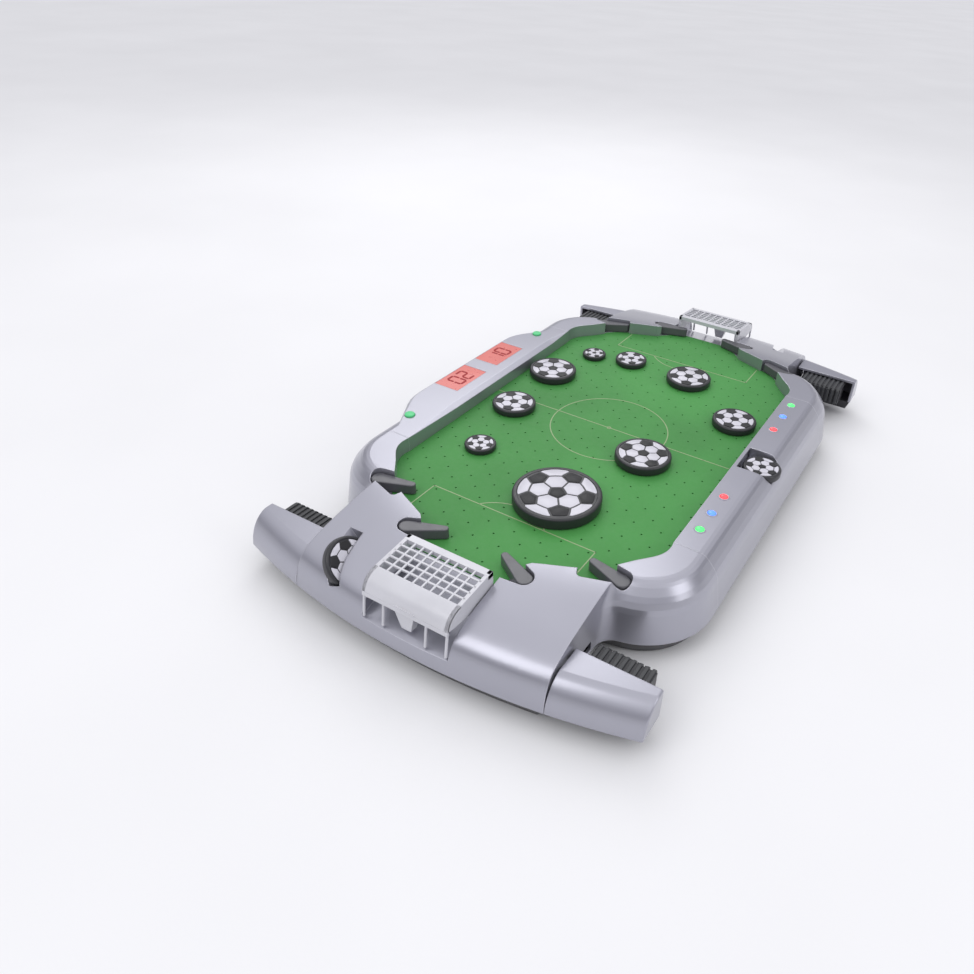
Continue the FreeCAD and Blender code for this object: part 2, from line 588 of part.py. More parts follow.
def flipper(mid):
    """Near right flipper at mid swing, pivot at the origin: arm, shaft, crank and pin."""
    low = BOARD_TOP + 1.0
    arm = moved(paddle(0.0).extrude(V(0, 0, FLIPPER_HEIGHT)), 0, 0, low)
    edges = [e for e in arm.Edges if e.BoundBox.ZMin > low + FLIPPER_HEIGHT - 0.01]
    arm = arm.makeFillet(0.8, edges)
    arm.rotate(V(0, 0, 0), V(0, 0, 1), -mid)
    reach = crank_reach()
    solids = [arm, rod(0, 0, CRANK_Z, low + 1.0, SHAFT_R),
              rod(0, 0, CRANK_Z, CRANK_Z + CRANK_THICK, SHAFT_R + 1.0),
              box(0, reach, -2.2, 2.2, CRANK_Z, CRANK_Z + CRANK_THICK),
              rod(reach, 0, CRANK_Z, CRANK_Z + CRANK_THICK, 2.2),
              rod(reach, 0, BAR_Z - 0.5, CRANK_Z + 0.5, PIN_R)]
    return fuse(solids)


def spring(length):
    """Coil spring along +Y from the origin."""
    radius, wire = 3.2, 0.55
    helix = Part.makeHelix((length - 2 * wire) / 7, length - 2 * wire, radius)
    helix.translate(V(0, 0, wire))
    circle = Part.Wire(Part.makeCircle(wire, V(radius, 0, wire), V(0, 1, 0)))
    coil = Part.Wire(helix.Edges).makePipeShell([circle], True, True)
    coil.rotate(V(0, 0, 0), V(1, 0, 0), -90)
    return coil


# ---- goal ------------------------------------------------------------------------------
def goal_line(drop, slim):
    """Top line of the net from the crossbar to the back, as (y, z) points."""
    top = BOARD_TOP + GOAL_RISE - drop
    back = GOAL_BACK - slim
    steps = 6
    bend = 14.0 - slim
    points = [(-GOAL_BAR_Y + 4.0, top), (-GOAL_BAR_Y, top)]
    for i in range(steps + 1):
        turn = math.radians(80.0 * i / steps)
        points.append((-back + bend - bend * math.sin(turn), top - 3.0 - bend + bend * math.cos(turn)))
    return points


def near_goal():
    """Goal frame: two cheeks, crossbar, moulded net, back band, struts and centre post."""
    half = GOAL_HALF - 1.0
    top = goal_line(0.0, 0.0)
    under = goal_line(1.6, 1.6)
    sheet = bar_x(top + under[::-1], -half, half)
    rows, columns = 4, 9
    first, last = -GOAL_BAR_Y - 4.5, -GOAL_BACK + 12.0
    pitch_y = (first - last) / rows
    pitch_x = 2 * (half - GOAL_POST) / columns
    holes = []
    for i in range(columns):
        for j in range(rows):
            x = -half + GOAL_POST + pitch_x * (i + 0.5)
            y = last + pitch_y * (j + 0.5)
            holes.append(box(x - pitch_x / 2 + 0.7, x + pitch_x / 2 - 0.7, y - pitch_y / 2 + 0.7,
                             y + pitch_y / 2 - 0.7, BOARD_TOP + 4.0, HIGH))
    sheet = sheet.cut(holes[0].multiFuse(holes[1:]))
    end = under[-1]
    cheek = top + [(end[0] + 4.0, end[1] - 1.0), (-GOAL_BAR_Y - 2.0, BOARD_TOP - 1.8),
                   (-GOAL_BAR_Y + 4.0, BOARD_TOP - 1.8)]
    solids = [sheet, bar_x(cheek, -half, -half + GOAL_POST), bar_x(cheek, half - GOAL_POST, half)]
    bar_top = BOARD_TOP + GOAL_RISE
    solids.append(box(-half, half, -GOAL_BAR_Y - 2.0, -GOAL_BAR_Y + 4.0, bar_top - 4.0, bar_top))
    band = [top[-1], end, (end[0] + 0.6, end[1] - 3.0), (top[-1][0] - 0.6, end[1] - 3.0)]
    solids.append(bar_x(band, -half, half))
    foot_y = -HALF_LENGTH + 4.0
    for x in (-half + 1.0, -half / 2, half / 2):
        start = V(x, end[0] - 0.4, end[1] - 1.5)
        foot = V(x, foot_y, bay_floor(foot_y) + STRUT_R + 0.4)
        solids.append(Part.makeCylinder(STRUT_R, (foot - start).Length, start, foot - start))
    post_y = end[0] + 2.0
    post = Part.makeLoft([plan_box(0, post_y, 4.0, 3.0, bay_floor(post_y) + 1.2),
                          plan_box(0, post_y + 0.5, 9.0, 4.0, end[1] + 2.0)], True, True)
    solids.append(post)
    return fuse(solids)


def plan_box(x, y, half_x, half_y, z):
    """Closed rectangle at one height."""
    x0, x1, y0, y1 = x - half_x, x + half_x, y - half_y, y + half_y
    return closed([(x0, y0), (x1, y0), (x1, y1), (x0, y1)], z)


def bay_floor(y):
    """Height of the goal bay's floor."""
    start, stop = -GOAL_LINE - 4.0, -HALF_LENGTH - 6.0
    return BOARD_TOP - 1.5 + (26.0 - BOARD_TOP + 1.5) * (y - start) / (stop - start)


# ---- board, base and insides -------------------------------------------------------------
def board():
    """Perforated playing board, resting under the side walls' lip."""
    face = field_face(BOARD_LIP, BOARD_LOW)
    inside = field_face(-3.0, BOARD_LOW)
    holes = []
    rows = int(GOAL_LINE / HOLE_PITCH[1])
    columns = int(FIELD_HALF_WIDTH / HOLE_PITCH[0]) + 1
    for row in range(-rows, rows + 1):
        y = row * HOLE_PITCH[1]
        shift = HOLE_PITCH[0] / 2 * (row % 2)
        for column in range(-columns, columns + 1):
            x = column * HOLE_PITCH[0] + shift
            if inside.isInside(V(x, y, BOARD_LOW), 0.01, True):
                holes.append(Part.Wire(Part.makeCircle(HOLE_R, V(x, y, BOARD_LOW))))
    return Part.Face([face.OuterWire] + holes).extrude(V(0, 0, BOARD_THICK))


def full_wire(inset, z):
    """Outline of the whole body without grips, inset all round."""
    right = cover_side(inset, inset, 0.0)
    edges = []
    corner = V(NECK_X - inset, front_y(NECK_X - inset, inset), 0)
    quarter = [Part.makeLine(V(right[0].x, 0, 0), right[1]), Part.Arc(right[1], right[2], right[3]).toShape(),
               Part.Arc(right[3], right[4], right[5]).toShape(), Part.makeLine(right[5], corner)]
    middle = V(corner.x / 2, front_y(corner.x / 2, inset), 0)
    quarter.append(Part.Arc(corner, middle, V(0, front_y(0, inset), 0)).toShape())
    half = quarter + [mirrored(e, V(1, 0, 0)) for e in quarter]
    edges = half + [mirrored(e, V(0, 1, 0)) for e in half]
    wire = Part.Wire(Part.sortEdges(edges)[0])
    wire.translate(V(0, 0, z))
    return wire


BATTERY = (-94.0, -46.0, -54.0, 54.0)      # left, right, near, far edge of the battery box


def base_tray():
    """Black base with tapered sides, battery opening and screw bosses."""
    outer = stack([full_wire(9.0, BASE_LOW), full_wire(0.6, SHELL_LOW)])
    inner = stack([full_wire(9.0 + WALL, BASE_LOW + WALL), full_wire(0.6 + WALL, SHELL_LOW)])
    tray = outer.cut(inner)
    x0, x1, y0, y1 = BATTERY
    cuts = [box(x0 + 2, x1 - 2, y0 + 2, y1 - 2, 0, BASE_LOW + WALL + 0.5)]
    bosses = []
    for x, y in screw_places():
        bosses.append(rod(x, y, BASE_LOW, SHELL_LOW, 5.5))
        cuts += [rod(x, y, 0.0, SHELL_LOW - 4.0, 3.8), rod(x, y, 0.0, HIGH, 1.8)]
    cuts += [box(-14.0, 14.0, y - 1.0, y + 1.0, 0, BASE_LOW + WALL + 0.5) for y in (-112, -107, -102, -97)]
    tray = tray.fuse(bosses[0].multiFuse(bosses[1:]))
    return tray.cut(cuts[0].multiFuse(cuts[1:]))


def screw_places():
    """Every housing screw's place in plan."""
    places = [(sx * SCREWS[0][0], sy * SCREWS[0][1]) for sx in (-1, 1) for sy in (-1, 1)]
    places += [(SCREWS[1][0], s * SCREWS[1][1]) for s in (-1, 1)]
    places += [(-SCREWS[1][0] + 6.0, s * (SCREWS[1][1] + 10.0)) for s in (-1, 1)]
    return places


def screws():
    """Housing screws, heads down in the base."""
    solids = []
    for x, y in screw_places():
        head = rod(x, y, SHELL_LOW - 7.0, SHELL_LOW - 4.0, 3.2)
        cross = box(x - 2.2, x + 2.2, y - 0.4, y + 0.4, 0, SHELL_LOW - 5.8).fuse(
            box(x - 0.4, x + 0.4, y - 2.2, y + 2.2, 0, SHELL_LOW - 5.8))
        solids.append(head.fuse(rod(x, y, SHELL_LOW - 4.0, SHELL_LOW + 12.0, 1.5)).cut(cross))
    return Part.makeCompound(solids)


def plenum():
    """Air tray under the board, fed by the blower."""
    half_x, half_y = FIELD_HALF_WIDTH - 20.0, JOIN_Y + 20.0
    low = BOARD_LOW - 9.0
    tray = box(-half_x, half_x, -half_y, half_y, low, BOARD_LOW)
    inside = box(-half_x + THIN, half_x - THIN, -half_y + THIN, half_y - THIN, low + THIN, HIGH)
    return tray.cut(inside).cut(rod(0, 0, 0, HIGH, AIR_INLET_R))


def blower_case():
    """Round blower case under the air tray."""
    top = BOARD_LOW - 9.0
    case = rod(0, 0, CASE_LOW, top, CASE_R)
    hollow = rod(0, 0, CASE_LOW + THIN, top - THIN, CASE_R - THIN)
    outlet = rod(0, 0, top - THIN - 1.0, HIGH, AIR_INLET_R)
    return case.cut(hollow.fuse(outlet)).cut(rod(0, 0, 0, CASE_LOW + THIN + 1.0, MOTOR_R + 0.4))


def impeller():
    """Bladed wheel on the motor shaft."""
    solids = [rod(0, 0, 22.0, 23.5, 32.0), rod(0, 0, 22.0, 32.0, 5.0)]
    for i in range(12):
        blade = box(14.0, 31.0, -0.7, 0.7, 23.0, 31.0)
        solids.append(turned(blade, 30.0 * i))
    return fuse(solids).cut(rod(0, 0, 0, 30.0, 1.0 + RUN))


def motor():
    """Blower motor with its shaft."""
    return fuse([rod(0, 0, BASE_LOW + WALL + 0.2, 20.5, MOTOR_R), rod(0, 0, 20.0, 29.0, 1.0)])


def battery_box():
    """Tub for six cells."""
    x0, x1, y0, y1 = BATTERY
    low, high = BASE_LOW + WALL, BASE_LOW + WALL + 18.0
    return box(x0, x1, y0, y1, low, high).cut(box(x0 + 1.5, x1 - 1.5, y0 + 1.5, y1 - 1.5, 0, high - 1.5))


def battery_cells():
    """Six AA cells in two rows of three."""
    solids = []
    for i in range(3):
        x = (BATTERY[0] + BATTERY[1]) / 2 + 14.8 * (i - 1)
        for y in (-51.0, 1.0):
            body = Part.makeCylinder(7.1, 48.5, V(x, y, BASE_LOW + WALL + 8.2), V(0, 1, 0))
            tip = Part.makeCylinder(2.6, 1.2, V(x, y + 48.5, BASE_LOW + WALL + 8.2), V(0, 1, 0))
            solids.append(body.fuse(tip))
    return Part.makeCompound(solids)


def battery_door():
    """Sliding door under the base."""
    x0, x1, y0, y1 = BATTERY
    door = box(x0 - 1, x1 + 1, y0 - 1, y1 + 1, 1.0, BASE_LOW - GAP)
    grips = [box(x0 + 8, x1 - 8, y0 + 4 + 3 * i, y0 + 5.5 + 3 * i, 0.0, 1.7) for i in range(5)]
    return door.cut(grips[0].multiFuse(grips[1:]))


def main_board():
    """Circuit board with its chip and sounder driver."""
    z = BASE_LOW + WALL + 4.0
    top = z + 1.6
    solids = [box(48, 96, -60, 60, z, top), box(60, 74, -12, 8, top, z + 4.0), rod(84, 30, top, z + 9.0, 4.0)]
    solids += [rod(x, y, BASE_LOW + WALL, z, 2.5) for x in (52, 92) for y in (-56, 56)]
    return fuse(solids)


def speaker():
    """Small loudspeaker over its grille slots."""
    low = BASE_LOW + WALL
    cone = Part.makeCone(13.0, 6.0, 5.0, V(0, -104.5, low + 2.0))
    return fuse([rod(0, -104.5, low, low + 2.0, 15.0), cone, rod(0, -104.5, low + 7.0, low + 11.0, 7.0)])


def puck(radius, thick):
    """Flat puck with rounded rim and a shallow dished face, base at the origin."""
    disc = rod(0, 0, 0, thick, radius)
    disc = disc.makeFillet(min(thick * 0.25, 1.8), disc.Edges)
    rim = max(1.6, radius * 0.09)
    return disc.cut(rod(0, 0, thick - 0.5, thick + 1.0, radius - rim))


# ---- build -----------------------------------------------------------------------------
def build():
    """Make every sub-part in place."""
    cover = near_end_cover()
    save("near_end_cover", cover)
    save("far_end_cover", turned(cover))
    save("right_rail", right_rail())
    save("left_rail", left_rail())
    save("playfield_board", board())
    save("air_plenum", plenum())
    save("base_tray", base_tray())
    save("housing_screws", screws())
    save("blower_case", blower_case())
    save("blower_impeller", impeller())
    save("blower_motor", motor())
    save("battery_box", battery_box())
    save("battery_cells", battery_cells())
    save("battery_door", battery_door())
    save("main_board", main_board())
    save("speaker", speaker())
    feet = []
    for x, y in FEET:
        for sx in (-1, 1):
            feet += [rod(sx * x, sy * y, 0.0, BASE_LOW, FOOT_R) for sy in ((-1, 1) if y else (1,))]
    save("rubber_feet", Part.makeCompound(feet))

    goal = near_goal()
    save("near_goal", goal)
    save("far_goal", turned(goal))

    windows, displays = [], []
    for x, y in WINDOW_XY:
        dx, dy = WINDOW[0] / 2 - 0.2, WINDOW[1] / 2 - 0.2
        windows.append(box(x - dx, x + dx, y - dy, y + dy, RAIL_TOP - 2.0, RAIL_TOP - 0.2))
        displays.append(box(x - dx, x + dx, y - dy, y + dy, RAIL_TOP - 10.0, RAIL_TOP - 2.2))
    save("score_windows", Part.makeCompound(windows))
    save("score_displays", Part.makeCompound(displays))
    lenses = []
    for y in LED_Y:
        dome = rod(LED_X, y, RAIL_TOP - 4.0, RAIL_TOP + 0.2, LED_R)
        lenses.append(dome.fuse(rod(LED_X, y, RAIL_TOP - 4.5, RAIL_TOP - 3.2, LED_R + 0.8)))
    save("lamp_lenses", Part.makeCompound(lenses))
    for (x, y), name in zip(BUTTON_XY, ("near_start_button", "far_start_button")):
        cap = rod(x, y, RAIL_TOP - 6.0, RAIL_TOP + 1.8, BUTTON_R)
        cap = cap.makeFillet(1.0, [cap.Edges[0]])
        flange = rod(x, y, RAIL_TOP - WALL - 1.8, RAIL_TOP - WALL - GAP, BUTTON_R + BUTTON_FLANGE)
        save(name, cap.fuse(flange))
    y, z = SWITCH_YZ
    save("power_switch", box(-SIDE_OUT + 4.6, -SIDE_OUT + 9.6, y - 8.0, y + 8.0, z - 3.5, z + 3.5))
    save("switch_slider", box(-SIDE_OUT - 1.0, -SIDE_OUT + 4.4, y - 4.5, y - 0.5, z - 2.0, z + 2.0))

    shell, base, squeeze = grip_shell(), grip_base(), trigger()
    bases = []
    for end, end_name in ((-1, "near"), (1, "far")):
        for side, side_name in ((-1, "left"), (1, "right")):
            place = lambda s: mirrored(s, V(1, 0, 0)) if side < 0 else s.copy()
            flip = lambda s: mirrored(s, V(0, 1, 0)) if end > 0 else s
            put = lambda s: flip(place(s))
            name = f"{end_name}_{side_name}"
            save(f"{name}_grip", put(shell))
            bases.append(put(base))
            travel = -STROKE / 2 if end < 0 else STROKE / 2
            save(f"{name}_trigger", put(moved(squeeze, 0, travel, 0)))
            x = (NECK_X + GRIP_OUT) / 2
            start = -TRIGGER_BACK + travel
            stop = front_y(x, WALL + SPRING_SEAT)
            coil = moved(turned(spring(start - stop), 180.0), x, start, BAR_Z + 7.0)
            save(f"{name}_trigger_spring", put(coil))
    save("grip_bases", Part.makeCompound(bases))

    for name, side, end, x, y, mid in flipper_spots():
        solid = flipper(mid)
        turn = -SWING / 2 if end < 0 else SWING / 2
        solid = turned(solid, turn)
        if side < 0:
            solid = mirrored(solid, V(1, 0, 0))
        if end > 0:
            solid = mirrored(solid, V(0, 1, 0))
        save(name, moved(solid, x, y, 0))

    spread_x, spread_y = FIELD_HALF_WIDTH / PUCK_FIELD[0], GOAL_LINE / PUCK_FIELD[1]
    for i, (x, y, radius, thick) in enumerate(PUCKS, 1):
        save(f"puck_{i}", moved(puck(radius, thick), x * spread_x, y * spread_y, BOARD_TOP + PUCK_FLOAT))
    save("pocket_puck", moved(puck(STORE_R, STORE_THICK), POCKET_XY[0], POCKET_XY[1], POCKET_FLOOR))
    stored = moved(puck(SLOT_R, STORE_THICK), 0, 0, -STORE_THICK / 2)
    stored.rotate(V(0, 0, 0), V(0, 1, 0), SLOT_LEAN)
    save("slot_puck", moved(stored, *SLOT_CENTRE))


build()
os.makedirs("parts", exist_ok=True)
for node, shape in PARTS.items():
    shape.exportStep(f"parts/{node}.step")
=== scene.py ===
import json
import math

import bmesh
import bpy
from mathutils import Matrix, Vector


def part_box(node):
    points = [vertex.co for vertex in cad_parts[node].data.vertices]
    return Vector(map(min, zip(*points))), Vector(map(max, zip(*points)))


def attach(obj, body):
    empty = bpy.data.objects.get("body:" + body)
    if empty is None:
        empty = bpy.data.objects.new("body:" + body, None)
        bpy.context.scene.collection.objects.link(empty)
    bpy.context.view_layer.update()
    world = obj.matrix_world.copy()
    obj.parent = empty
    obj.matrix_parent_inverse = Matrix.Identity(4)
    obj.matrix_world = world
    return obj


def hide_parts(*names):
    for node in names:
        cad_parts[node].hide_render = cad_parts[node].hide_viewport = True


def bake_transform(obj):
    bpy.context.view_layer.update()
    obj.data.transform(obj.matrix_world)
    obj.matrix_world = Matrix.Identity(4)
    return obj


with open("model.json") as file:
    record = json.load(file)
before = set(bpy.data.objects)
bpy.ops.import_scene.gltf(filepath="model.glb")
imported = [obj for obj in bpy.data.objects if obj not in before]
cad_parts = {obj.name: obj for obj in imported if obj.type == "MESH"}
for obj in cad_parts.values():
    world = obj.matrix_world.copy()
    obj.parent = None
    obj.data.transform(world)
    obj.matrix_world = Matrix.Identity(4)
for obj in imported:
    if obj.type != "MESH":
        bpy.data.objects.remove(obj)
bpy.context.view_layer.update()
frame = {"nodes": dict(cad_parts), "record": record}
NODES = frame["nodes"]

MM = 0.001
BOARD_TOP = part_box("playfield_board")[1].z
RAIL_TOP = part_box("right_rail")[1].z

# ---- camera --------------------------------------------------------------------------------
CAMERA_PLACE = Vector((0.2533, -0.5385, 0.4076))
CAMERA_TURN = math.radians(28.23)
CAMERA_TILT = math.radians(35.96)
CAMERA_ROLL = math.radians(3.68)
CAMERA_LENS = 28.51
CAMERA_SHIFT = (-0.085, 0.003)


# ---- materials -----------------------------------------------------------------------------
class Paint:
    """A principled material that is built up node by node."""

    def __init__(self, name, colour, rough, metal=0.0):
        self.material = bpy.data.materials.new(name)
        self.material.use_nodes = True
        self.tree = self.material.node_tree
        self.shader = self.tree.nodes["Principled BSDF"]
        self.colour = colour
        self.rough = rough
        self.set("Base Color", (*colour, 1.0))
        self.set("Roughness", rough)
        self.set("Metallic", metal)
        self.place = self.add("ShaderNodeTexCoord").outputs["Object"]

    def add(self, kind, **values):
        node = self.tree.nodes.new(kind)
        for key, value in values.items():
            setattr(node, key, value)
        return node

    def set(self, socket, value):
        self.shader.inputs[socket].default_value = value
        return self

    def link(self, a, b):
        self.tree.links.new(a, b)

    def noise(self, scale, detail=3.0):
        node = self.add("ShaderNodeTexNoise")
        node.inputs["Scale"].default_value = scale
        node.inputs["Detail"].default_value = detail
        self.link(self.place, node.inputs["Vector"])
        return node.outputs["Fac"]

    def ramp(self, source, low, high, start=0.3, end=0.7):
        node = self.add("ShaderNodeMapRange")
        node.inputs["From Min"].default_value = start
        node.inputs["From Max"].default_value = end
        node.inputs["To Min"].default_value = low
        node.inputs["To Max"].default_value = high
        self.link(source, node.inputs["Value"])
        return node.outputs["Result"]

    def blend(self, share, first, second):
        """Colour between two colours or sockets, by a share."""
        node = self.add("ShaderNodeMix", data_type="RGBA")
        self.link(share, node.inputs["Factor"])
        for socket, value in ((node.inputs[6], first), (node.inputs[7], second)):
            if isinstance(value, tuple):
                socket.default_value = (*value, 1.0)
            else:
                self.link(value, socket)
        return node.outputs[2]

    def mottle(self, scale, spread):
        """Faint lighter and darker patches."""
        dark = tuple(c * (1 - spread) for c in self.colour)
        light = tuple(min(1.0, c * (1 + spread)) for c in self.colour)
        self.tone = self.blend(self.ramp(self.noise(scale), 0.0, 1.0), dark, light)
        self.link(self.tone, self.shader.inputs["Base Color"])
        return self

    def smudge(self, scale, spread):
        """Uneven gloss."""
        result = self.ramp(self.noise(scale, 4.0), self.rough - spread, self.rough + spread)
        self.link(result, self.shader.inputs["Roughness"])
        return self

    def relief(self, scale, depth, soften=0.0):
        """Fine moulded grain, and edges that catch the light as if rounded."""
        bump = self.add("ShaderNodeBump")
        bump.inputs["Strength"].default_value = 0.6
        bump.inputs["Distance"].default_value = depth
        self.link(self.noise(scale, 2.0), bump.inputs["Height"])
        if soften:
            bevel = self.add("ShaderNodeBevel", samples=6)
            bevel.inputs["Radius"].default_value = soften
            self.link(bevel.outputs["Normal"], bump.inputs["Normal"])
            self.bevel = bevel.outputs["Normal"]
        self.link(bump.outputs["Normal"], self.shader.inputs["Normal"])
        return self

    def edge_highlight_and_wear(self, lighter):
        """Edges painted lighter: a painted highlight along the rounded edges, with a little rub wear."""
        geometry = self.add("ShaderNodeNewGeometry")
        dot = self.add("ShaderNodeVectorMath", operation="DOT_PRODUCT")
        self.link(self.bevel, dot.inputs[0])
        self.link(geometry.outputs["Normal"], dot.inputs[1])
        # painted highlight: the lighter colour comes in where the rounded-edge normal turns away from the
        # surface normal
        share = self.ramp(dot.outputs["Value"], 1.0, 0.0, 0.78, 0.95)
        mixed = self.blend(share, self.tone, lighter)
        self.link(mixed, self.shader.inputs["Base Color"])
        return self


def plastic(name, colour, rough, grain=2200.0, depth=0.00004, soften=0.0006, spread=0.05, coat=0.0):
    paint = Paint(name, colour, rough)
    paint.mottle(38.0, spread).smudge(120.0, min(0.06, rough * 0.3)).relief(grain, depth, soften)
    paint.set("Coat Weight", coat)
    paint.set("Coat Roughness", 0.12)
    return paint


LAMP_TINTS = (("green", (0.06, 0.78, 0.13)), ("blue", (0.07, 0.20, 0.92)), ("red", (0.92, 0.05, 0.06)))
LAMP_GLOW = 1.3


def make_materials():
    """One material for every slot of the record, and the extra ones that the pieces need."""
    made = {}
    shell = Paint("silver_shell_paint", (0.385, 0.385, 0.44), 0.29, 0.66)
    shell.mottle(16.0, 0.02).smudge(14.0, 0.012).relief(5200.0, 0.000008, 0.0009)
    # edges painted lighter silver: painted highlight along the edges, with a little rub wear
    shell.edge_highlight_and_wear((0.66, 0.66, 0.72))
    shell.set("Coat Weight", 0.35)
    shell.set("Coat Roughness", 0.16)
    made["silver_shell"] = shell

    board = Paint("green_board_print", (0.062, 0.265, 0.062), 0.55)
    board.mottle(9.0, 0.14).smudge(300.0, 0.05).relief(2600.0, 0.00002, 0.0003)
    board.set("Specular IOR Level", 0.3)
    made["green_board"] = board

    black = plastic("black_plastic_grain", (0.022, 0.022, 0.026), 0.44, depth=0.00006, soften=0.0008)
    # edges painted lighter grey: painted highlight along the edges, with a little rub wear
    black.edge_highlight_and_wear((0.07, 0.07, 0.078))
    made["black_plastic"] = black

    made["screw_steel"] = metal("screw_zinc", (0.56, 0.55, 0.53), 0.36)
    made["white_plastic"] = plastic("white_nylon", (0.74, 0.74, 0.72), 0.5)
    made["motor_steel"] = metal("motor_can", (0.52, 0.52, 0.54), 0.33)
    made["battery"] = plastic("battery_wrap", (0.05, 0.06, 0.09), 0.3)
    made["circuit_board"] = plastic("solder_mask", (0.03, 0.2, 0.07), 0.35)
    made["rubber"] = plastic("foot_rubber", (0.025, 0.025, 0.025), 0.82, grain=3000.0, depth=0.0001)
    made["goal_grey"] = plastic("goal_moulding", (0.60, 0.60, 0.64), 0.34, soften=0.0, coat=0.3)
    made["red_window"] = window_paint()
    made["clear_lens"] = plastic("lens_bezel", (0.5, 0.5, 0.52), 0.2)
    made["green_button"] = plastic("button_rubber", (0.10, 0.62, 0.24), 0.42, soften=0.0)
    made["spring_steel"] = metal("spring_wire", (0.6, 0.6, 0.62), 0.28)
    flipper = plastic("flipper_charcoal", (0.085, 0.085, 0.095), 0.36, soften=0.0009, coat=0.25)
    # edges painted lighter grey: painted highlight along the edges, with a little rub wear
    flipper.edge_highlight_and_wear((0.22, 0.22, 0.24))
    made["flipper_black"] = flipper
    made["puck_black"] = plastic("puck_rim", (0.022, 0.022, 0.026), 0.42, soften=0.0, coat=0.12)

    made["trigger_rib"] = plastic("trigger_rib_rubber", (0.045, 0.047, 0.05), 0.5, soften=0.0)
    made["panel_light"] = plastic("puck_panel_light", (0.62, 0.61, 0.67), 0.42, soften=0.0, coat=0.15)
    made["panel_dark"] = plastic("puck_panel_dark", (0.012, 0.012, 0.014), 0.5, soften=0.0)
    made["pitch_line"] = plastic("pitch_ink", (0.28, 0.38, 0.19), 0.5, soften=0.0)
    made["digit"] = plastic("digit_red", (0.33, 0.012, 0.014), 0.6, soften=0.0)
    for name, colour in LAMP_TINTS:
        made["lamp_" + name] = lit("lamp_" + name, colour, LAMP_GLOW)
    return {name: paint.material for name, paint in made.items()}


def metal(name, colour, rough):
    paint = Paint(name, colour, rough, 1.0)
    paint.mottle(60.0, 0.06).smudge(400.0, 0.08).relief(4000.0, 0.00002, 0.0003)
    return paint


def lit(name, colour, strength):
    """Tinted plastic that glows a little."""
    paint = Paint(name, colour, 0.25)
    paint.mottle(500.0, 0.12).smudge(600.0, 0.05).relief(3000.0, 0.00001)
    paint.set("Emission Color", (*colour, 1.0))
    paint.set("Emission Strength", strength)
    paint.set("Coat Weight", 0.5)
    return paint


def window_paint():
    """Red tinted pane with a lit panel behind it."""
    paint = Paint("red_pane", (0.58, 0.13, 0.11), 0.3)
    paint.mottle(60.0, 0.04).smudge(260.0, 0.04).relief(3500.0, 0.000005, 0.0004)
    paint.set("Emission Color", (0.75, 0.17, 0.14, 1.0))
    paint.set("Emission Strength", 0.12)
    paint.set("Coat Weight", 0.2)
    return paint


def paint_cad(materials):
    """Give every CAD node the material of its own slot."""
    for part in frame["record"]["subparts"]:
        node = NODES[part["node"]]
        node.data.materials.clear()
        node.data.materials.append(materials[part["material_slot"]])


# ---- mesh helpers --------------------------------------------------------------------------
def piece(name, bm, body, materials, replaces=(), smooth=True, bevel=0.0):
    """Turn a bmesh into a piece that rides on a body; without a body it is left unattached."""
    bmesh.ops.recalc_face_normals(bm, faces=bm.faces)
    mesh = bpy.data.meshes.new(name)
    bm.to_mesh(mesh)
    bm.free()
    for material in materials:
        mesh.materials.append(material)
    for polygon in mesh.polygons:
        polygon.use_smooth = smooth
    obj = bpy.data.objects.new(name, mesh)
    bpy.context.scene.collection.objects.link(obj)
    if bevel:
        rounded = obj.modifiers.new("rounded", "BEVEL")
        rounded.width = bevel
        rounded.segments = 3
        rounded.limit_method = "ANGLE"
        rounded.angle_limit = math.radians(35)
        rounded.harden_normals = True
    if smooth:
        mesh.set_sharp_from_angle(angle=math.radians(38))
    if body:
        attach(obj, body)
    if replaces:
        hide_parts(*replaces)
    return obj


def lathe(bm, profile, steps, matrix):
    """Turn a profile of (radius, height) about the local Z; closed at the axis."""
    rings = []
    for radius, height in profile:
        if radius < 1e-7:
            rings.append([bm.verts.new(matrix @ Vector((0, 0, height)))])
            continue
        ring = []
        for i in range(steps):
            turn = 2 * math.pi * i / steps
            point = Vector((radius * math.cos(turn), radius * math.sin(turn), height))
            ring.append(bm.verts.new(matrix @ point))
        rings.append(ring)
    for low, high in zip(rings, rings[1:]):
        for i in range(steps):
            j = (i + 1) % steps
            corners = [low[i % len(low)], low[j % len(low)], high[j % len(high)], high[i % len(high)]]
            bm.faces.new(list(dict.fromkeys(corners)))


def prism(bm, outline, direction):
    """Closed solid from an outline of points pushed along a direction."""
    first = [bm.verts.new(p) for p in outline]
    second = [bm.verts.new(p + direction) for p in outline]
    count = len(outline)
    bm.faces.new(first)
    bm.faces.new(second[::-1])
    for i in range(count):
        j = (i + 1) % count
        bm.faces.new([first[j], first[i], second[i], second[j]])


def along_x(bm, outline, x0, x1):
    """Prism along X over (y, z) points."""
    prism(bm, [Vector((x0, y, z)) for y, z in outline], Vector((x1 - x0, 0, 0)))


def rounded(corner, start, end, steps=4):
    """Points of a round about a corner's centre, from one angle to another."""
    (x, y), radius = corner
    points = []
    for i in range(steps + 1):
        turn = math.radians(start + (end - start) * i / steps)
        points.append((x + radius * math.cos(turn), y + radius * math.sin(turn)))
    return points


# ---- pucks ---------------------------------------------------------------------------------
BALL_EDGE = math.radians(82)      # how far round the ball the face's pattern reaches
BALL_BACK = math.radians(140)     # panels beyond this are behind the ball
NEIGHBOUR = 1.2                   # corners of the ball's icosahedron closer than this are linked
PANEL_SHRINK = 0.90
PANEL_PROUD = 0.45 * MM
PUCK_STEPS = 72


